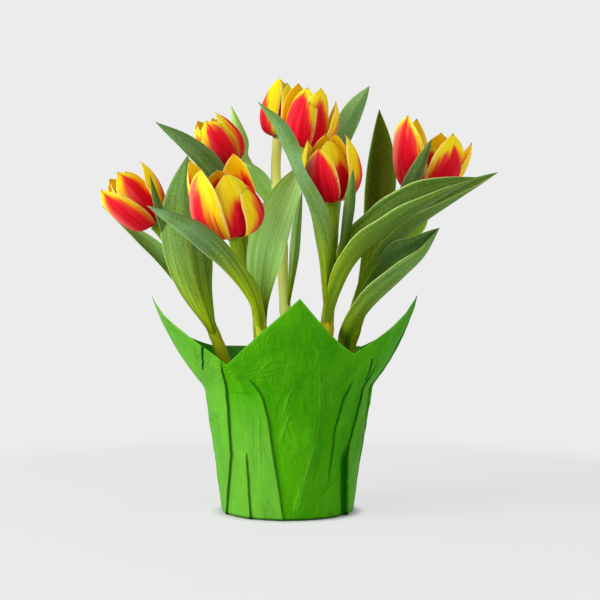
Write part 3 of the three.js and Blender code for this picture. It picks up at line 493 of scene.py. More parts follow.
def leaf_points(leaf, u, t):
    """Middle surface of a leaf at a grid of u (-1 to 1, left to right) and t (base to tip)."""
    path, share, wave = leaf["path"], leaf.get("share", 0.5), leaf.get("wave", 1)
    along = tangent(path, t)
    facing = unit(TO_FRONT - along * (along @ TO_FRONT)[:, None])
    across = np.cross(along, facing)
    turn = np.radians(spline(leaf.get("roll", [0]), t))[:, None]
    side = across * np.cos(turn) + facing * np.sin(turn)
    normal = facing * np.cos(turn) - across * np.sin(turn)
    width = leaf_width(t, leaf.get("base", 0.3), leaf.get("peak", 0.45)) * leaf["width"]
    width = np.maximum(width, LEAF_TIP_WIDTH)[:, None]
    reach = np.abs(u) * width * np.where(u > 0, share, 1 - share)
    bend = np.radians(spline(leaf["fold"], t))[:, None]
    out = np.zeros_like(reach)
    rise = np.zeros_like(reach)
    for k in range(FOLD["steps"]):
        slope = bend * (FOLD["least"] + FOLD["gain"] * ((k + 0.5) / FOLD["steps"]) * np.abs(u))
        out += np.cos(slope) * reach / FOLD["steps"]
        rise += np.sin(slope) * reach / FOLD["steps"]
    phase = np.where(u > 0, 1.9, 0.0)
    swell = np.sin(math.pi * t)[:, None]
    rise += wave * u**2 * np.sin(3 * math.pi * t[:, None] + phase) * swell
    fine = np.sin(FINE_RIPPLE["halves"] * math.pi * t[:, None] + 2 * phase)
    rise += FINE_RIPPLE["height"] * wave * u**4 * fine * swell
    rise -= ridge(u, GROOVE) * (1 - t[:, None]) * np.sign(bend)
    middle = spline(path, t)[:, None, :] + side[:, None, :] * (np.sign(u) * out)[..., None]
    return middle + normal[:, None, :] * rise[..., None]


def add_leaf(shape, leaf, tone, seed):
    """A leaf with a groove above its midrib and a keel below it."""
    u, t, uv = blade_grid(LEAF_GRID, LEAF_CROWDING)
    keel = ridge(u, KEEL) * (1 - t[:, None])
    half = half_thickness(LEAF_THICKNESS, u, t, *LEAF_THINNING) + keel / 2
    shape.add_sheet(leaf_points(leaf, u, t), half, uv, (0, seed, 0), tone)


STEM_GRID = (64, 20)
JOINT = {"depth": 0.35, "width": 3}
SWELLING = 0.5


def bloom_axis(bloom):
    """Direction in which a bloom stands, leaning sideways and nodding forwards."""
    lean, nod = math.radians(bloom["lean"]), math.radians(bloom["nod"])
    return np.array([math.sin(lean) * math.cos(nod), -math.sin(nod), math.cos(lean) * math.cos(nod)])


def stem_path(plant):
    """Points from the bulb to the bloom, the last two in line with the bloom."""
    axis, base = bloom_axis(plant["bloom"]), np.array(plant["bloom"]["at"], float)
    foot = [*plant["bulb"], BULB_TOP + GAP]
    return [foot, *plant["stem"], (base - axis * STEM_END).tolist(), (base - axis * GAP).tolist()]


def ring(middle, along, radius, sides):
    """Ring of points round a middle, square to a direction."""
    right = -unit(np.cross(TO_FRONT, along))
    back = np.cross(along, right)
    angle = turns(sides)[:, None]
    radius = np.broadcast_to(radius, (sides,))[:, None]
    return middle + right * radius * np.cos(angle) + back * radius * np.sin(angle)


def add_stem(shape, plant, tone):
    """A round stem from its bulb to its bloom."""
    rows, sides = STEM_GRID
    path = stem_path(plant)
    t = np.linspace(0, 1, rows + 1)
    middles, alongs = spline(path, t), tangent(path, t)
    alongs[0] = [0, 0, 1]
    alongs[-1] = bloom_axis(plant["bloom"])
    radii = STEM_RADIUS["bottom"] + (STEM_RADIUS["top"] - STEM_RADIUS["bottom"]) * t
    # A faint joint where each leaf leaves the stem, and a slight swelling under the bloom.
    for leaf in plant["leaves"].values():
        radii = radii + ridge(middles[:, 2] - leaf["path"][0][2], JOINT)
    radii = radii + SWELLING * smooth(0.965, 1, t)
    rings = [ring(m, a, r, sides) for m, a, r in zip(middles, alongs, radii)]
    shape.add_loft(rings, t, (0, 0, 1), tone)


# ---- blooms ----

PETAL_GRID = (44, 28)
NECK_SIDES, PISTIL_SIDES, STAMEN_SIDES = 24, 24, 10
PETAL_CREASE = {"depth": 0.5, "width": 0.10}
PETAL_RIPPLE = {"height": 0.7, "halves": 2.2}
PETAL_RIBS = {"height": 0.22, "halves": 4.5}
PETAL_THINNING = (0.8, 0.45, 0.35)


def petal_width(t):
    """Width along a petal, as a share: widest in the middle, round at the foot and the tip."""
    narrow = 0.12 + 0.88 * np.sin(np.minimum(t, 0.5) * math.pi)
    return np.where(t < 0.5, narrow, np.maximum(1 - (np.maximum(t - 0.5, 0) / 0.5) ** TAPER, 0.03))


def petal_points(bloom, index, u, t):
    """Middle surface of a petal at a grid of u (-1 to 1) and t (foot to tip)."""
    heading, tilt, length, width = bloom["petals"][index]
    axis = bloom_axis(bloom)
    front = unit(TO_FRONT - axis * (TO_FRONT @ axis))
    right = np.cross(axis, front)
    turn = math.radians(heading)
    outward = front * math.cos(turn) + right * math.sin(turn)
    sideways = np.cross(axis, outward)
    size = bloom["radius"] * (1 if index < 3 else INNER_WHORL)
    mouth = bloom["mouth"]
    profile = [[0.1, 0.02], [0.74, 0.12], [1, 0.4], [0.61 + 0.5 * mouth, 0.74], [mouth, 1]]
    shares = spline(profile, t)
    out = (shares[:, 0] * size)[:, None]
    up = (shares[:, 1] * bloom["height"] * length)[:, None]
    curve = np.maximum(PETAL_CURVE["share"] * out, PETAL_CURVE["least"])
    wrap = (width / 2) * petal_width(t)[:, None] / curve
    wrap = np.minimum(wrap, math.radians(PETAL_CURVE["most_wrap"]))
    angle = u * wrap
    reach = out - curve * (1 - np.cos(angle))
    swing = math.radians(tilt)
    # A shallow crease along the middle, margins that ripple towards the tip, and low ribs.
    crease = -ridge(u, PETAL_CREASE) * np.sin(math.pi * t)[:, None]
    seed = 1.7 * index + 0.1 * heading
    waves = np.sin(PETAL_RIPPLE["halves"] * math.pi * t[:, None] * np.sign(u) + seed)
    ripple = PETAL_RIPPLE["height"] * u**2 * waves * (t**2)[:, None]
    ribs = PETAL_RIBS["height"] * np.cos(PETAL_RIBS["halves"] * math.pi * u + seed)
    ribs = ribs * np.sin(math.pi * np.minimum(t * 1.2, 1))[:, None]
    outer = reach + crease + ripple + ribs
    place = np.array(bloom["at"], float)
    return (place + outward * (outer * math.cos(swing) + up * math.sin(swing))[..., None]
            + sideways * (curve * np.sin(angle))[..., None]
            + axis * (up * math.cos(swing) - 0.3 * reach * math.sin(swing))[..., None])


def add_petal(shape, bloom, index, reach, width, pale=0, lean=0):
    """A petal of a bloom, with the reach and width of its flame, how pale and pink its left side is (a
    blush with painted highlight), and the flame's lean.
    """
    u, t, uv = blade_grid(PETAL_GRID)
    half = half_thickness(PETAL_THICKNESS, u, t, *PETAL_THINNING)
    seed = (index * 0.37 + bloom["at"][0] * 0.013) % 1
    points = petal_points(bloom, index, u, t)
    shape.add_sheet(points, half, uv, (0, seed, lean), (reach, width, pale))


def bloom_ring(bloom, height, radius, sides, out=0, angle=0):
    """Ring of points square to a bloom's axis, at a height above its foot and out from the axis."""
    axis = bloom_axis(bloom)
    right = -unit(np.cross(TO_FRONT, axis))
    back = np.cross(axis, right)
    middle = np.array(bloom["at"], float) + axis * height
    middle = middle + (right * math.cos(angle) + back * math.sin(angle)) * out
    return ring(middle, axis, radius, sides)


def make_bloom(name, plant, material):
    """Three outer and three inner petals on a short neck."""
    bloom = plant["bloom"]
    shape = Shape()
    for index, flame in enumerate(FLAMES[name]):
        add_petal(shape, bloom, index, *flame)
    neck = [(0, 0.86), (0.5, 0.94), (3, 1), (NECK["height"] - 0.6, 0.98), (NECK["height"], 0.9)]
    rings = [bloom_ring(bloom, height, NECK["radius"] * share, NECK_SIDES) for height, share in neck]
    shape.add_loft(rings, [0, 0.1, 0.4, 0.9, 1], (0, 0, NECK_MARK))
    return shape.make(f"bloom_{name}_petals", material, [f"bloom_{name}"])


def make_heart(name, plant, material):
    """Three-sided pistil under a lobed stigma, and six stamens with long dark anthers."""
    bloom = plant["bloom"]
    foot = NECK["height"] + GAP
    tall = PISTIL_SHARE * bloom["height"]
    shape = Shape()
    lobes = np.cos(3 * turns(PISTIL_SIDES))
    # Height, radius and depth of the lobes.
    pistil = [(0, 3.2, 0), (0.6, 3.5, 0), (1.6, 2.8, 0.04), (tall * 0.45, 2.3, 0.1),
              (tall - 3.4, 1.8, 0.1), (tall - 2.2, 2.5, 0.2), (tall - 1.2, 2.9, 0.26),
              (tall - 0.4, 2.7, 0.3), (tall, 1.9, 0.3)]
    rings = [bloom_ring(bloom, foot + height, radius * (1 + lobe * lobes), PISTIL_SIDES)
             for height, radius, lobe in pistil]
    shape.add_loft(rings, [row[0] / tall for row in pistil])
    for k in range(STAMENS["count"]):
        spin = 2 * math.pi * (k + 0.5) / STAMENS["count"]
        top = tall * STAMENS["share"]
        # Height, radius and share of the way outwards.
        rows = [(0.4, 0.8, 0), (0.35 * top, 0.6, 0.3), (0.5 * top, 0.45, 0.52),
                (0.52 * top, 0.9, 0.54), (0.6 * top, 1.25, 0.62), (0.85 * top, 1.2, 0.88),
                (0.97 * top, 0.8, 0.98), (top, 0.2, 1)]
        rings = []
        for height, radius, share in rows:
            out = STAMENS["foot_ring"] + (STAMENS["ring"] - STAMENS["foot_ring"]) * share
            rings.append(bloom_ring(bloom, foot + height, radius, STAMEN_SIDES, out, spin))
        shape.add_loft(rings, [row[0] / top for row in rows], (0, 0, 1))
    return shape.make(f"heart_{name}_parts", material, [f"heart_{name}"])


# ---- bulbs, soil and pot ----

BULB_GRID = (26, 40)
SOIL_GRID = (62, 180)
POT_SIDES = 120
DRAIN_SIDES = 32


def level_ring(x, y, z, radius, sides):
    """Level ring of points round (x, y)."""
    angle = turns(sides)
    radius = np.broadcast_to(radius, (sides,))
    heights = np.broadcast_to(z, (sides,))
    return np.stack([x + radius * np.cos(angle), y + radius * np.sin(angle), heights], -1)


def make_bulb(name, plant, material):
    """A bulb, flatter on one side, with faint ribs in its papery skin."""
    x, y = plant["bulb"]
    rows, sides = BULB_GRID
    angle = turns(sides)
    lump = 1 - 0.04 * np.cos(angle + x) - 0.012 * (1 + np.cos(11 * angle + y))
    shape = Shape()
    shape.add_loft([level_ring(x, y, BULB_BOTTOM + height, radius * 0.98 * lump, sides)
                    for radius, height in spline(BULB_PROFILE, np.linspace(0, 1, rows))])
    return shape.make(f"bulb_{name}_skin", material, [f"bulb_{name}"])


def pot_radius(z):
    """Radius of the pot's outer wall at a height."""
    spread = POT["rim_radius"] - POT["floor_radius"]
    return POT["floor_radius"] + spread * (z - POT_BOTTOM) / POT["height"]


def soil_height(x, y):
    """Height of the soil's gentle mound, with low swells."""
    mound = 2 - (x * x + y * y) / 1600
    crumbs = np.sin(x * 0.31 + 1.3) * np.cos(y * 0.27) + 0.6 * np.sin(x * 0.17 - y * 0.43)
    return SOIL_TOP + mound + 0.9 * crumbs


def make_soil(material):
    """Crumbly potting soil: lumps and grains on the surface, plain below it."""
    floor = POT_FLOOR_TOP + GAP
    edge = SOIL_TOP - 1
    wall = pot_radius(edge) - POT["wall"] - GAP
    rows, sides = SOIL_GRID
    rings = [level_ring(0, 0, z, pot_radius(z) - POT["wall"] - GAP, sides) for z in (floor, edge)]
    for share in np.linspace(0.995, 0.01, rows):
        flat = level_ring(0, 0, 0, share * wall, sides)
        z = soil_height(flat[:, 0], flat[:, 1])
        flat[:, 2] = SOIL_TOP
        lumps = rough(flat, 9, 2) * 1.1 + np.abs(rough(flat, 3.2, 3)) * 1.6 - 0.6
        flat[:, 2] = z + lumps * (1 if share < 0.97 else 0.4)
        rings.append(flat)
    shape = Shape()
    shape.add_loft(rings)
    return shape.make("soil_surface", material, ["soil"])


def make_pot(material):
    """Thin moulded pot with a rolled rim band and drain holes in its floor."""
    top = POT_BOTTOM + POT["height"]
    lip = top - POT["lip_drop"]
    inner = [(z, pot_radius(z) - POT["wall"]) for z in (top - 0.3, top - 12, 50, 20, POT_FLOOR_TOP)]
    outer = [(POT_BOTTOM + 0.5, pot_radius(POT_BOTTOM)), (20, pot_radius(20)), (50, pot_radius(50)),
             (lip - 0.3, pot_radius(lip)), (lip, pot_radius(lip) + 0.1),
             (lip + POT["lip_step"], POT["lip_radius"]), (top - 0.6, POT["lip_top_radius"]),
             (top - 0.1, POT["lip_top_radius"] - 0.4), (top, POT["lip_top_radius"] - 0.9)]
    profile = [(POT_BOTTOM, pot_radius(POT_BOTTOM) - 1.2), *outer, *inner,
               (POT_FLOOR_TOP, pot_radius(POT_FLOOR_TOP) - POT["wall"] - 2)]
    shape = Shape()
    shape.add_loft([level_ring(0, 0, z, radius, POT_SIDES) for z, radius in profile])
    pot = shape.make("nursery_pot_shell", material, ["nursery_pot"])
    drains = Shape()
    for k in range(POT["drains"]):
        turn = 2 * math.pi * k / POT["drains"]
        spot = POT["drain_ring"] * math.cos(turn), POT["drain_ring"] * math.sin(turn)
        drains.add_loft([level_ring(*spot, z, POT["drain_radius"], DRAIN_SIDES)
                         for z in (POT_BOTTOM - 1, POT_FLOOR_TOP + 1)])
    drill = drains.build("drains", material)
    cut = pot.modifiers.new("drains", "BOOLEAN")
    cut.operation, cut.solver, cut.object = "DIFFERENCE", "EXACT", drill
    graph = bpy.context.evaluated_depsgraph_get()
    pierced = bpy.data.meshes.new_from_object(
        pot.evaluated_get(graph), preserve_all_data_layers=True, depsgraph=graph)
    pot.modifiers.clear()
    pot.data = pierced
    bpy.data.objects.remove(drill)


# ---- paper cover ----

COVER_COLUMN = 1.2  # degrees between the plain columns
WALL_ROWS, FLARE_ROWS = 60, 54
LAP_SHIFTS = {"outside": -0.25, "under": 0.02, "edge": 0.06}  # degrees from the edge of a lap
DENTS = {"height": 0.55, "size": 26}
RIDGES = {"height": 0.7, "size": 15, "floor": 0.25}
SINK = 0.35  # by which the crinkled paper lies below the smooth face
EDGE_ROWS = 3  # rows beside the free edge that its paler colour reaches
FOOT_STEPS = [(0.5, 0.0), (0.93, 0.0), (0.972, 0.12), (0.99, 0.5)]  # share of the radius, lift
FULL_UNDER = 0.8  # depth from which the middle layer of a lap reaches all the way under


def to_half_turn(heading):
    """The same heading between -180 and 180 degrees."""
    return (np.asarray(heading, float) + 180) % 360 - 180


LAP_HOMES = [float(to_half_turn(level_values(rows, 1)[0])) for _, rows in LAPS]
FLAP_HOMES = [float(to_half_turn(flap[0])) for flap in FLAPS]


def flap_at(heading):
    """Place between a flap (0) and a notch (45), flare, curl and fall of the paper there."""
    flaps = np.array(FLAPS, float)
    offs = (heading - flaps[:, :1]) % 360
    before = offs.argmin(0)
    place = np.take_along_axis(offs, before[None], 0)[0] / np.array(FLAP_SPANS)[before]
    flap = flaps[np.where(place < 0.5, before, (before + 1) % len(FLAPS))]
    fall = np.where(place < 0.5, flap[:, 4], flap[:, 3])
    off = 90 * np.minimum(place, 1 - place)
    share = np.cos(np.radians(2 * off))
    flare = COVER["notch_flare"] + (flap[:, 1] - COVER["notch_flare"]) * share
    notch = flaps[before, 5]
    return off, flare, flap[:, 2] * share, notch + (fall - notch) * share


def arc_to(run, start, end):
    """Way that a curve goes out and up in a run, as its slope turns evenly between angles."""
    half = np.maximum(np.abs(end - start) / 2, 1e-6)
    chord = np.sin(half) / half
    middle = (start + end) / 2
    return run * chord * np.cos(middle), run * chord * np.sin(middle)


def flare_point(run, flare, curl):
    """Radius and height of the paper beyond the bend, after a run along it."""
    wall = math.atan2(COVER["bend_height"], COVER["bend_radius"] - COVER["base_radius"])
    low, high = np.radians(flare - curl), np.radians(flare + curl)
    bent = np.minimum(run, COVER["bend_length"])
    rest = run - bent
    o1, u1 = arc_to(bent, wall, wall + (low - wall) * bent / COVER["bend_length"])
    share = rest / (COVER["flap_length"] - COVER["bend_length"])
    o2, u2 = arc_to(rest, low, low + (high - low) * share)
    return COVER["bend_radius"] + o1 + o2, COVER["bend_height"] + u1 + u2


def lap_depth(heading, level, without=None):
    """How far the laps lift the paper at a heading and level."""
    depth = np.zeros_like(heading)
    for k, (way, rows) in enumerate(LAPS):
        if k == without:
            continue
        edge, height = level_values(rows, level)
        off = to_half_turn(heading - edge) * way
        inside = (off >= 0) & (off < LAP_WIDTH)
        depth = np.maximum(depth, np.where(inside, height * (1 - off / LAP_WIDTH), 0))
    for half, rows in SOFT_FOLDS:
        middle, height = level_values(rows, level)
        off = np.abs(to_half_turn(heading - middle)) / half
        depth = depth + height * np.maximum(1 - off, 0)
    return depth


def cover_columns():
    """Columns in order: heading at the bend, then lap and role of the three in a lap's fold."""
    plain = [h for h in np.arange(-180, 180, COVER_COLUMN)
             if all(abs(h - home) > 0.5 for home in LAP_HOMES + FLAP_HOMES)]
    columns = [(h, None, None) for h in plain + FLAP_HOMES]
    for lap, home in enumerate(LAP_HOMES):
        columns += [(home + 0.01 * LAPS[lap][0] * place, lap, role)
                    for place, role in enumerate(LAP_SHIFTS)]
    return sorted(columns)


def column_headings(columns, level):
    """Heading of every column at a level: the columns follow the edges of the laps."""
    knots = [(home, home) for home in FLAP_HOMES]
    for home, (_, rows) in zip(LAP_HOMES, LAPS):
        knots.append((home, home + level_values(rows, level)[0] - level_values(rows, 1)[0]))
    knots.sort()
    (first, start), (last, end) = knots[0], knots[-1]
    knots = [(last - 360, end - 360), *knots, (first + 360, start + 360)]
    return np.interp([column[0] for column in columns], *zip(*knots))


def cover_row(columns, level):
    """Points of the cover's outer face all round at one level."""
    heading = column_headings(columns, level)
    depth = lap_depth(heading, level)
    for i, (_, lap, role) in enumerate(columns):
        if lap is None:
            continue
        way, rows = LAPS[lap]
        edge, height = level_values(rows, level)
        shift = LAP_SHIFTS[role]
        if role == "under":
            shift += LAP_UNDER * min(height / FULL_UNDER, 1)
        heading[i] = to_half_turn(edge) + way * shift
        depth[i] = lap_depth(heading[i:i + 1], level, without=lap)[0]
        if role == "edge":
            depth[i] += height
    if level <= 1:
        radius = COVER["base_radius"] + (COVER["bend_radius"] - COVER["base_radius"]) * level
        radius = np.full_like(heading, radius)
        z = np.full_like(heading, max(COVER["bend_height"] * level, COVER["foot_bevel"]))
    else:
        # With a fall of 1 the free edges leave a flap's tip at 45 degrees on the flat paper.
        off, flare, curl, fall = flap_at(heading)
        sideways = fall * np.sin(np.radians(off))
        run = COVER["flap_length"] - COVER["bend_radius"] * sideways
        run = run / (1 + np.cos(np.radians(flare)) * sideways)
        radius, z = flare_point(run * (level - 1), flare, curl)
    turn = np.radians(heading)
    return np.stack([(radius + depth) * np.sin(turn), -(radius + depth) * np.cos(turn), z], -1)


def crinkle(points, level):
    """Outward displacement of the paper: broad dents and sharper creases, none at the foot."""
    dents = DENTS["height"] * rough(points, DENTS["size"])
    ridges = RIDGES["height"] * (np.abs(rough(points + 40, RIDGES["size"])) - RIDGES["floor"])
    return (dents - ridges) * np.clip(level * 3, 0, 1)


def headings_at(rows, levels):
    """Heading of a lap or crease at each level, as a column."""
    return np.array([to_half_turn(level_values(rows, level)[0]) for level in levels])[:, None]


def cover_tones(grid, levels):
    """Distance from the nearest crease in millimetres, its strength, and the painted light and shade of
    the panel.
    """
    heading = np.degrees(np.arctan2(grid[..., 0], -grid[..., 1]))
    radius = np.hypot(grid[..., 0], grid[..., 1])
    tones = np.zeros(grid.shape)
    tones[..., 0] = CREASE_REACH
    for rows in CREASES:
        strength = np.array([level_values(rows, level)[1] for level in levels])[:, None]
        off = to_half_turn(heading - headings_at(rows, levels)) * np.radians(radius)
        within = (levels >= rows[0][0]) & (levels <= rows[-1][0])
        near = (np.abs(off) < np.abs(tones[..., 0])) & within[:, None]
        tones[..., 0] = np.where(near, off, tones[..., 0])
        tones[..., 1] = np.where(near, strength, tones[..., 1])

    def fade(start, end):
        return smooth(start, end, levels)[:, None]

    painted_light = np.full(heading.shape, FIRST_PANEL_PAINTED_LIGHT)
    for lap, tone in PANEL_PAINTED_LIGHT:
        painted_light = np.where(heading > headings_at(LAPS[lap][1], levels), tone * fade(1.15, 0.55), painted_light)
    # Painted shade: right of the long crease the paper turns away from the light, most of all in the
    # pocket before a lap.
    beyond = heading - headings_at(CREASES[0], levels)
    painted_light -= 0.25 * smooth(-0.5, 0.5, beyond) * smooth(75, 60, heading) * fade(1.7, 1.2)
    before = heading - headings_at(LAPS[SHADED_POCKET_LAP][1], levels)
    tones[..., 2] = painted_light - 1.4 * smooth(-8, -2, before) * (before < 0) * fade(0.66, 0.45)
    return tones


def make_cover(material):
    """One sheet of paper, pleated round the pot and flared as flaps, closed under the foot."""
    columns = cover_columns()
    flare_levels = 1 + np.linspace(0, 1, FLARE_ROWS + 1)[1:]
    levels = np.concatenate([np.linspace(0, 1, WALL_ROWS + 1), flare_levels])
    grid = np.stack([cover_row(columns, level) for level in levels])
    padded = np.concatenate([grid[:, -1:], grid, grid[:, :1]], axis=1)
    normals = grid_normals(padded)[:, 1:-1]
    away = unit(grid * [1, 1, 0])
    for k, level in enumerate(levels):
        grid[k] += away[k] * (crinkle(grid[k], level) - SINK)[:, None]
    inner = grid - normals * COVER_THICKNESS
    foot = [grid[0] * [share, share, 0] + [0, 0, lift] for share, lift in FOOT_STEPS]
    floor = [row + [0, 0, COVER_THICKNESS] for row in foot[:3]]
    rings = [*foot, *grid, *inner[::-1], *floor[::-1]]
    # Marks: inner face, closeness to the free edge, and 1 on a lap's edge, with a painted highlight, or
    # below 0 under it, with painted shade.
    top = len(foot) + len(grid)
    outer = slice(len(foot), top)
    marks = np.zeros((len(rings), len(columns), 3))
    marks[top:, :, 0] = 1
    run = np.abs(np.arange(len(rings)) - top + 0.5)
    marks[:, :, 1] = np.clip(1 - run / EDGE_ROWS, 0, 1)[:, None]
    for i, (_, lap, role) in enumerate(columns):
        if role == "edge":
            marks[outer, i, 2] = 1
        elif role:
            heights = np.array([level_values(LAPS[lap][1], level)[1] for level in levels])
            marks[outer, i, 2] = -np.minimum(heights / FULL_UNDER, 1)
    tones = np.zeros(marks.shape)
    tones[:, :, 0] = CREASE_REACH
    tones[outer] = cover_tones(grid, levels)
    shape = Shape()
    flat = [np.concatenate([a.reshape(-1, 3), a[0, :1], a[-1, :1]]) for a in (marks, tones)]
    shape.add_loft(rings, None, *flat)
    return shape.make("paper_cover_sheet", material, ["paper_cover"])


# ---- materials ----


def linear_color(color):
    """Linear colour of three screen values from 0 to 255."""
    def linear(value):
        share = value / 255
        return share / 12.92 if share <= 0.04045 else ((share + 0.055) / 1.055) ** 2.4
    return (*map(linear, color), 1)


class Field:
    """A number or colour that varies over a surface: one output of a node, with arithmetic."""

    def __init__(self, graph, socket):
        self.graph, self.socket = graph, socket

    def __add__(self, other):
        return self.graph.math("ADD", self, other)

    def __sub__(self, other):
        return self.graph.math("SUBTRACT", self, other)

    def __rsub__(self, other):
        return self.graph.math("SUBTRACT", other, self)

    def __mul__(self, other):
        return self.graph.math("MULTIPLY", self, other)

    def __truediv__(self, other):
        return self.graph.math("DIVIDE", self, other)

    def __pow__(self, power):
        return self.graph.math("POWER", self, power)

    def __abs__(self):
        return self.graph.math("ABSOLUTE", self)

    def at_least(self, low):
        return self.graph.math("MAXIMUM", self, low)

    def step(self, low, high, start=0, end=1):
        """Smooth step from start to end, as the number goes from low to high."""
        made = self.graph.node("ShaderNodeMapRange", {"interpolation_type": "SMOOTHSTEP"}, Value=self,
                               From_Min=low, From_Max=high, To_Min=start, To_Max=end)
        return Field(self.graph, made.outputs[0])


class Graph:
    """Short ways to add the nodes of one material."""

    def __init__(self, name, **constants):
        self.material = bpy.data.materials.new(name)
        self.material.use_nodes = True
        self.tree = self.material.node_tree
        self.tree.nodes.clear()
        self.shader = self.node("ShaderNodeBsdfPrincipled", **constants)
        self.output = self.node("ShaderNodeOutputMaterial", Surface=self.shader.outputs[0])

    def plug(self, socket, value):
        value = getattr(value, "socket", value)
        if isinstance(value, bpy.types.NodeSocket):
            self.tree.links.new(value, socket)
        else:
            socket.default_value = value

    def node(self, kind, settings=None, **inputs):
        made = self.tree.nodes.new(kind)
        for key, value in (settings or {}).items():
            setattr(made, key, value)
        for key, value in inputs.items():
            self.plug(made.inputs[key.replace("_", " ")], value)
        return made

    def math(self, operation, *values):
        made = self.node("ShaderNodeMath", {"operation": operation})
        for socket, value in zip(made.inputs, values):
            self.plug(socket, value)
        return Field(self, made.outputs[0])

    def mix(self, share, a, b, blend="MIX"):
        """Blend of two colours, each a field or three screen values."""
        made = self.node("ShaderNodeMix", {"data_type": "RGBA", "blend_type": blend}, Factor=share)
        for socket, color in zip(made.inputs[6:8], (a, b)):
            self.plug(socket, linear_color(color) if isinstance(color, tuple) else color)
        return Field(self, made.outputs[2])

    def layers(self, color, *coats):
        """Colour under coats, each with its share, its colour and at times its way to blend."""
        for share, coat, *blend in coats:
            color = self.mix(share, color, coat, *blend)
        return color

    def split(self, vector):
        made = self.node("ShaderNodeSeparateXYZ", Vector=vector)
        return [Field(self, part) for part in made.outputs]

    def attribute(self, name):
        """The three numbers of an attribute."""
        return self.split(self.node("ShaderNodeAttribute", {"attribute_name": name}).outputs["Vector"])

    def surface(self):
        """Surface coordinates: u across from 0 to 1, t along from 0 to 1."""
        return self.split(self.node("ShaderNodeUVMap", {"uv_map": "surface"}).outputs[0])[:2]

    def position(self):
        return self.node("ShaderNodeTexCoord").outputs["Object"]

    def noise(self, place, scale=1, detail=2, roughness=0.5, distortion=0):
        """Smooth noise at a vector, or at two or three numbers."""
        if isinstance(place, tuple):
            place = self.node("ShaderNodeCombineXYZ", **dict(zip("XYZ", place))).outputs[0]
        made = self.node("ShaderNodeTexNoise", Vector=place, Scale=scale, Detail=detail,
                         Roughness=roughness, Distortion=distortion)
        return Field(self, made.outputs[0])

    def finish(self, color, roughness, relief=None, depth=0, strength=1):
        """Colours the shader, with a relief of a depth in metres where one is given."""
        self.plug(self.shader.inputs["Base Color"], color)
        self.plug(self.shader.inputs["Roughness"], roughness)
        if relief:
            bump = self.node("ShaderNodeBump", Height=relief, Distance=depth, Strength=strength)
            self.plug(self.shader.inputs["Normal"], bump.outputs[0])
        return self.material


def petal_material():
    """Yellow petals with a crimson flame that feathers out towards the margins and the tip."""
    g = Graph("petal", Specular_IOR_Level=0.06, Subsurface_Weight=0.6, Subsurface_Scale=0.003,
              Subsurface_Radius=(1.0, 0.8, 0.2))
    u, t = g.surface()
    inside, seed, lean = g.attribute("marks")
    reach, width, pale = g.attribute("tones")
    signed = u * 2 - 1
    # Fine streaks run from the foot to the tip and fan out with the petal.
    shift = seed * 37
    fine = g.noise((u * 38 + shift, t * 2.2, seed), 1, 3, 0.62)
    broad = g.noise((u * 10 + shift, t * 2.2, seed))
    frayed = g.noise((u * 14 + shift, t * 16, seed), 1, 3, 0.6)
    ragged = fine * 1.5 + broad * 0.9 - 1.2
    # The flame narrows as it climbs, reaches less high inside and leans to one side.
    climb = t / (reach * (inside * -0.16 + 1))
    clear = (1 - climb**3.2) * width - abs(signed - lean * t)
    edge = clear + ragged
    flame, deep = edge.step(-0.15, 0.20), edge.step(0.15, 0.75)
    glow = (clear + ragged * 0.6).step(-0.42, 0.06)
    yellow = g.layers(g.mix(t.step(0.4, 0.9), (255, 200, 0), (255, 218, 18)),
                      (fine.step(0.50, 0.68, 0, 0.5), (255, 230, 74)),
                      (fine.step(0.48, 0.34, 0, 0.6), (252, 156, 0)),
                      (inside * 0.75, (255, 172, 0)))
    orange = g.mix(fine.step(0.38, 0.62), (240, 72, 20), (254, 158, 30))
    # Pink blush with painted highlight on the left side of the flame, which faces the light.
    pinkish = g.mix(fine.step(0.36, 0.64), (238, 76, 92), (253, 172, 150))
    lit_flank = pale * signed.step(0.1, -0.9) * (1 - inside) * t.step(0.2, 0.65, 0, 0.85)
    red = g.layers(g.mix(fine.step(0.38, 0.62), (198, 0, 26), (240, 22, 46)),
                   (deep * 0.6, (206, 0, 28)),
                   (broad.step(0.56, 0.70, 0, 0.4), (250, 48, 66)),
                   (broad.step(0.48, 0.36, 0, 0.5), (176, 0, 30)),
                   (t.step(0.02, 0.34, 0.6, 0), (140, 0, 14)),
                   (lit_flank, pinkish),
                   (inside * 0.5, (190, 14, 0)))
    # Cream margins, frayed on their inner side and widest towards the tip.
    rim = abs(signed) + frayed * 0.44 - 0.22 + t.step(0.6, 1, 0, 0.07)
    margin = rim.step(0.86, 1.04) * t.step(0.15, 0.5, 0, 0.75)
    tip, neck = t.step(0.965, 0.992, 0, 0.65), lean.step(2, 3)
    color = g.layers(yellow, (glow, orange), (flame, red), (margin, (255, 228, 140)),
                     (tip, (112, 84, 24)), (neck, (170, 186, 60)))
    return g.finish(color, fine * 0.2 + 0.40, fine * 0.7 + broad * 0.8, 0.0008, 0.6)


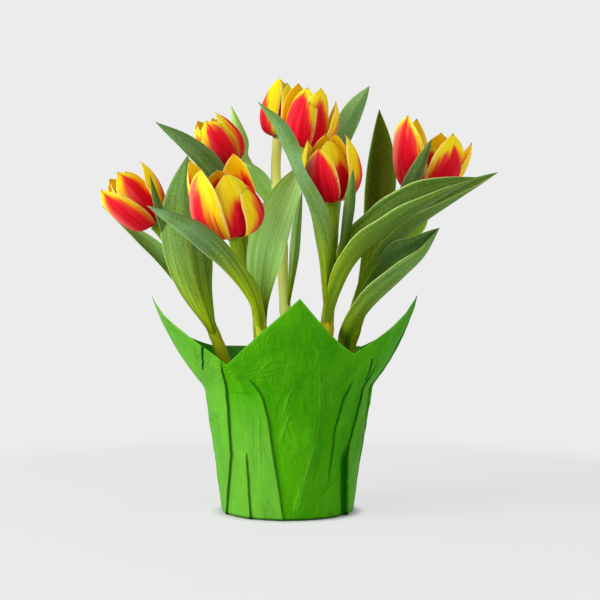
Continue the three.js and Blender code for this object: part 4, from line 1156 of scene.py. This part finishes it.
def leaf_material():
    """Waxy leaves with parallel veins, a thin pale margin and a yellow-green foot."""
    g = Graph("foliage", Specular_IOR_Level=0.08, Subsurface_Weight=0.35, Subsurface_Scale=0.0015,
              Subsurface_Radius=(0.8, 1.0, 0.2))
    u, t = g.surface()
    behind, seed, stem = g.attribute("marks")
    pale, dark, wax = g.attribute("tones")
    across = abs(u * 2 - 1)
    shift = seed * 53
    veins = g.noise((u * 44 + shift, t * 1.7, seed), 1, 4, 0.65)
    bands = g.noise((u * 7 + shift, t * 2.4, seed), 1, 3)
    blotch = g.noise(g.position(), 60, 4)
    grain = g.noise(g.position(), 800, 2, 0.6)
    foot = g.mix(bands.step(0.35, 0.65), (116, 144, 0), (152, 180, 0))
    green = g.mix(bands.step(0.38, 0.62), (58, 92, 4), (92, 130, 26))
    vein = g.mix(t.step(0.1, 0.5), (176, 200, 30), (140, 178, 76))
    # Paler green over the upper blade: partly the leaf's own tone, partly painted light for light shining
    # through it.
    light = g.mix(veins.step(0.38, 0.64), (154, 216, 104), (212, 252, 168))
    film = wax * t.step(0.3, 0.7) * blotch.step(0.30, 0.60, 0.35, 1)
    # Painted shade over the middle of the blade, towards the midrib.
    shade = dark * across.step(1, 0.55) * t.step(0.25, 0.5)
    color = g.layers(g.mix(t.step(0.20, 0.62), foot, green),
                     (veins.step(0.50, 0.68, 0, 0.55), vein),
                     (veins.step(0.50, 0.34, 0, 0.35), (54, 88, 0)),
                     (film * 0.8, (106, 146, 108)),
                     (shade * 0.9, (72, 80, 0)),
                     (pale * t.step(0.1, 0.5), light),
                     (behind * 0.2, (110, 150, 60)),
                     (grain.step(0.50, 0.70, 0, 0.35), (255, 255, 205), "SOFT_LIGHT"),
                     (grain.step(0.50, 0.30, 0, 0.35), (40, 70, 0), "SOFT_LIGHT"),
                     (across.step(0.955, 0.99, 0, 0.75), (192, 214, 136)))
    # The stems: pale green above, yellower low down, some flushed with red at the foot.
    streaks = g.noise((u * 26, t * 4, seed))
    flush = dark * t.step(0.55, 0.2) * streaks.step(0.35, 0.6)
    stalk = g.layers(g.mix(t.step(0.1, 0.6), (196, 208, 10), (122, 160, 20)),
                     (streaks.step(0.4, 0.7, 0, 0.3), (198, 214, 70)),
                     (pale, (238, 255, 134)),
                     (flush * 0.7, (178, 92, 20)))
    return g.finish(g.mix(stem, color, stalk), veins * 0.2 + 0.42, veins + bands * 0.6, 0.0008, 0.6)


def cover_material():
    """Waxed green paper: wrinkles, curling relief, sharp creases, painted dark lines of shade under laps,
    and painted light and shade on panels, creases, slits and foot.
    """
    g = Graph("cover_paper", Specular_IOR_Level=0.02)
    inner, edge, fold = g.attribute("marks")
    off, strength, painted_light = g.attribute("tones")
    place = g.position()
    x, y, z = g.split(place)
    fibres = g.noise(place, 900, 3, 0.7)
    patches = g.noise(place, 26, 3)
    wrinkles = g.noise((x, y, z * 0.3), 60, 3, 0.55, 0.4)
    # Curling contours stand out in patches, as on crumpled and flattened paper.
    contours = g.math("SINE", g.noise(place, 21, 1, 0.5, 1.4) * 120)
    curls = contours.step(-0.2, 1) ** 2 * g.noise(place, 15, 1).step(0.48, 0.60)
    # Crumples: flat facets that meet along thin lines.
    lean = (z * 0.35 + x, y, z * 0.5)
    facets = abs(g.noise(lean, 52, 2, 0.5, 0.9) * 2 - 1)
    finer = abs(g.noise(lean, 130, 2, 0.5, 0.6) * 2 - 1)
    crumple = g.math("MINIMUM", facets, 0.3) + finer * 0.26
    away = abs(off)
    # The crest of a crease is raised in the relief and lightened by a painted highlight.
    crest = strength.at_least(0) * (away * -0.55 + 1).at_least(0)
    # A slit is painted as a thin dark line of shade.
    slit = strength.step(-0.2, -0.8) * away.step(1.3, 0.5)
    # Painted shade along the foot, where the cover meets the floor.
    foot = z.step(0.0025, 0.0008)
    color = g.layers(g.mix(wrinkles.step(0.3, 0.7), (42, 128, 0), (64, 148, 2)),
                     (patches.step(0.35, 0.65, 0, 0.35), (76, 160, 10)),
                     (fibres * 0.2, (96, 178, 24)),
                     # painted light and painted shade of the folded panels
                     (painted_light.at_least(0) * 0.9, (150, 204, 90)),
                     (painted_light.step(0, -1.5, 0, 0.95), (4, 76, 0)),
                     (facets.step(0.04, 0, 0, 0.08), (124, 204, 60)),
                     (crest * 0.2, (124, 204, 60)),
                     (edge * 0.45, (120, 196, 50)),
                     # painted highlight on the edge of a lap, and painted shade under it
                     (fold.step(0.2, 1, 0, 0.35), (116, 196, 50)),
                     (fold.step(-0.35, -1, 0, 0.42), (0, 84, 26)),
                     (slit, (0, 54, 14)),
                     (foot * 0.7, (0, 66, 14)),
                     (inner * 0.35, (24, 106, 2)))
    relief = curls * 0.35 + crumple * 1.6 + wrinkles * 1.6 + crest * 1.1 + fibres * 0.05
    return g.finish(color, patches * 0.2 + 0.36, relief, 0.0014, 0.8)


def heart_material():
    """Greenish pistil with a pale stigma, and near-black anthers on pale filaments."""
    g = Graph("flower_heart", Specular_IOR_Level=0.3)
    _, t = g.surface()
    _, _, stamen = g.attribute("marks")
    grain = g.noise(g.position(), 1500, 3)
    pistil = g.mix(t.step(0.7, 0.9), (168, 184, 70), (228, 220, 130))
    anther = g.mix(grain, (30, 16, 30), (74, 46, 58))
    whole = g.mix(t.step(0.46, 0.52), (206, 196, 90), anther)
    return g.finish(g.mix(stamen, pistil, whole), grain * 0.3 + 0.5, grain, 0.0003, 0.6)


def bulb_material():
    """Brown papery skin with fine lines and pale flakes, green at the neck."""
    g = Graph("bulb_skin", Specular_IOR_Level=0.4)
    u, t = g.surface()
    lines = g.noise((u * 40, t * 2), 1, 4)
    flakes = g.noise(g.position(), 120, 4)
    color = g.layers(g.mix(lines, (110, 66, 30), (176, 122, 66)),
                     (flakes.step(0.55, 0.7, 0, 0.6), (214, 190, 140)),
                     (t.step(0.8, 0.98), (150, 176, 80)))
    return g.finish(color, lines * 0.3 + 0.4, lines, 0.0005, 0.7)


def soil_material():
    """Dark crumbs with grit and a few pale specks."""
    g = Graph("soil", Specular_IOR_Level=0.2)
    place = g.position()
    grains = g.noise(place, 420, 5, 0.7)
    cells = g.node("ShaderNodeTexVoronoi", Vector=place, Scale=320)
    grit = Field(g, cells.outputs["Distance"]).step(0, 0.6, 1, 0)
    speck = g.noise(place, 190, 1).step(0.70, 0.74)
    color = g.layers(g.mix(grains, (30, 19, 12), (92, 66, 46)), (speck, (200, 190, 172)))
    return g.finish(color, grains * 0.2 + 0.78, grains + grit * 0.5, 0.0015, 0.9)


def pot_material():
    """Scuffed dark grey plastic."""
    g = Graph("pot_plastic", Specular_IOR_Level=0.45)
    grain = g.noise(g.position(), 700, 3)
    scuffs = g.noise(g.position(), 40, 4, 0.7)
    color = g.mix(scuffs, (38, 38, 37), (58, 57, 55))
    return g.finish(color, grain * 0.2 + 0.42, grain, 0.0001, 0.5)


# ---- the object ----

PETAL, LEAF, HEART, BULB = petal_material(), leaf_material(), heart_material(), bulb_material()

for plant_name, plant in PLANTS.items():
    leafy = Shape()
    add_stem(leafy, plant, (*STEM_TONES[plant_name], 0))
    for number, (leaf_name, leaf) in enumerate(plant["leaves"].items()):
        tone = LEAF_TONES[f"{plant_name}.{leaf_name}"]
        add_leaf(leafy, leaf, tone, (0.31 * number + 0.17 * ord(plant_name)) % 1)
    leafy.make(f"leafy_stem_{plant_name}_green", LEAF, [f"leafy_stem_{plant_name}"])
    make_bloom(plant_name, plant, PETAL)
    make_heart(plant_name, plant, HEART)
    make_bulb(plant_name, plant, BULB)

make_cover(cover_material())
make_soil(soil_material())
make_pot(pot_material())

# ---- stage: camera, floor and light ----

CAMERA = {"aim": (10.4, 0, 170), "elevation": 4.5, "distance": 2000, "lens": 150, "sensor": 36}
BACKGROUND = 0.84  # radiance of the pale backdrop, and of the floor away from the object
AMBIENT = 0.47  # radiance of the surroundings as a light
FLOOR_ALBEDO = 0.70
FLOOR_DROP = 0.2


def aim_at(thing, place, target):
    """Puts a camera or light at a place in millimetres, facing a target."""
    thing.location = Vector(place) * METRES
    direction = (Vector(target) - Vector(place)).normalized()
    thing.rotation_euler = direction.to_track_quat("-Z", "Y").to_euler()
    bpy.context.scene.collection.objects.link(thing)


def make_camera():
    data = bpy.data.cameras.new("camera")
    data.lens, data.sensor_width = CAMERA["lens"], CAMERA["sensor"]
    data.clip_end = 20
    camera = bpy.data.objects.new("camera", data)
    tilt = math.radians(CAMERA["elevation"])
    offset = Vector((0, -math.cos(tilt), math.sin(tilt))) * CAMERA["distance"]
    aim_at(camera, Vector(CAMERA["aim"]) + offset, CAMERA["aim"])
    bpy.context.scene.camera = camera


def make_light(name, place, size, power):
    """Round soft light, placed in millimetres and aimed at the plants."""
    data = bpy.data.lights.new(name, "AREA")
    data.shape, data.size, data.energy = "DISK", size, power
    aim_at(bpy.data.objects.new(name, data), place, (0, 0, 180))


def make_world():
    """Even pale surroundings: seen as the backdrop, weaker as light."""
    world = bpy.data.worlds.new("studio")
    world.use_nodes = True
    nodes, links = world.node_tree.nodes, world.node_tree.links
    background = nodes["Background"]
    background.inputs[0].default_value = (1, 1, 1, 1)
    path = nodes.new("ShaderNodeLightPath")
    strength = nodes.new("ShaderNodeMapRange")
    strength.inputs["To Min"].default_value = AMBIENT
    strength.inputs["To Max"].default_value = BACKGROUND
    links.new(path.outputs["Is Camera Ray"], strength.inputs["Value"])
    links.new(strength.outputs[0], background.inputs[1])
    bpy.context.scene.world = world


def make_floor():
    """Wide pale floor that takes the object's soft shadow and melts into the backdrop."""
    mesh = bpy.data.meshes.new("floor")
    sides = 96
    rings = [level_ring(0, 0, 0, radius, sides) for radius in (60, 400, 1200, 4000)]
    points = np.concatenate(rings) * METRES
    faces = [list(range(sides))]
    for start in range(0, sides * (len(rings) - 1), sides):
        for i in range(sides):
            j = (i + 1) % sides
            faces.append([start + i, start + sides + i, start + sides + j, start + j])
    mesh.from_pydata(points.tolist(), [], faces)
    floor = bpy.data.objects.new("floor", mesh)
    bpy.context.scene.collection.objects.link(floor)
    floor.location.z = -FLOOR_DROP * METRES
    g = Graph("floor_paint", Specular_IOR_Level=0.0)
    length = g.node("ShaderNodeVectorMath", {"operation": "LENGTH"}, Vector=g.position())
    far = Field(g, length.outputs["Value"])
    share = far.step(0.052, 0.064, 0.05, 0.78).at_least(far.step(0.10, 0.50))
    glow = g.node("ShaderNodeEmission", Color=(1, 1, 1, 1), Strength=BACKGROUND)
    blend = g.node("ShaderNodeMixShader", Fac=share)
    g.plug(blend.inputs[1], g.shader.outputs[0])
    g.plug(blend.inputs[2], glow.outputs[0])
    g.plug(g.output.inputs["Surface"], blend.outputs[0])
    mesh.materials.append(g.finish((FLOOR_ALBEDO, FLOOR_ALBEDO, FLOOR_ALBEDO, 1), 0.9))


make_camera()
make_world()
make_floor()
make_light("key", (-1700, -1100, 1400), 2.2, 42)
make_light("side", (-2100, -900, 420), 1.4, 34)
make_light("fill", (1500, -1500, 700), 1.8, 13)
bpy.context.scene.view_settings.view_transform = "Standard"
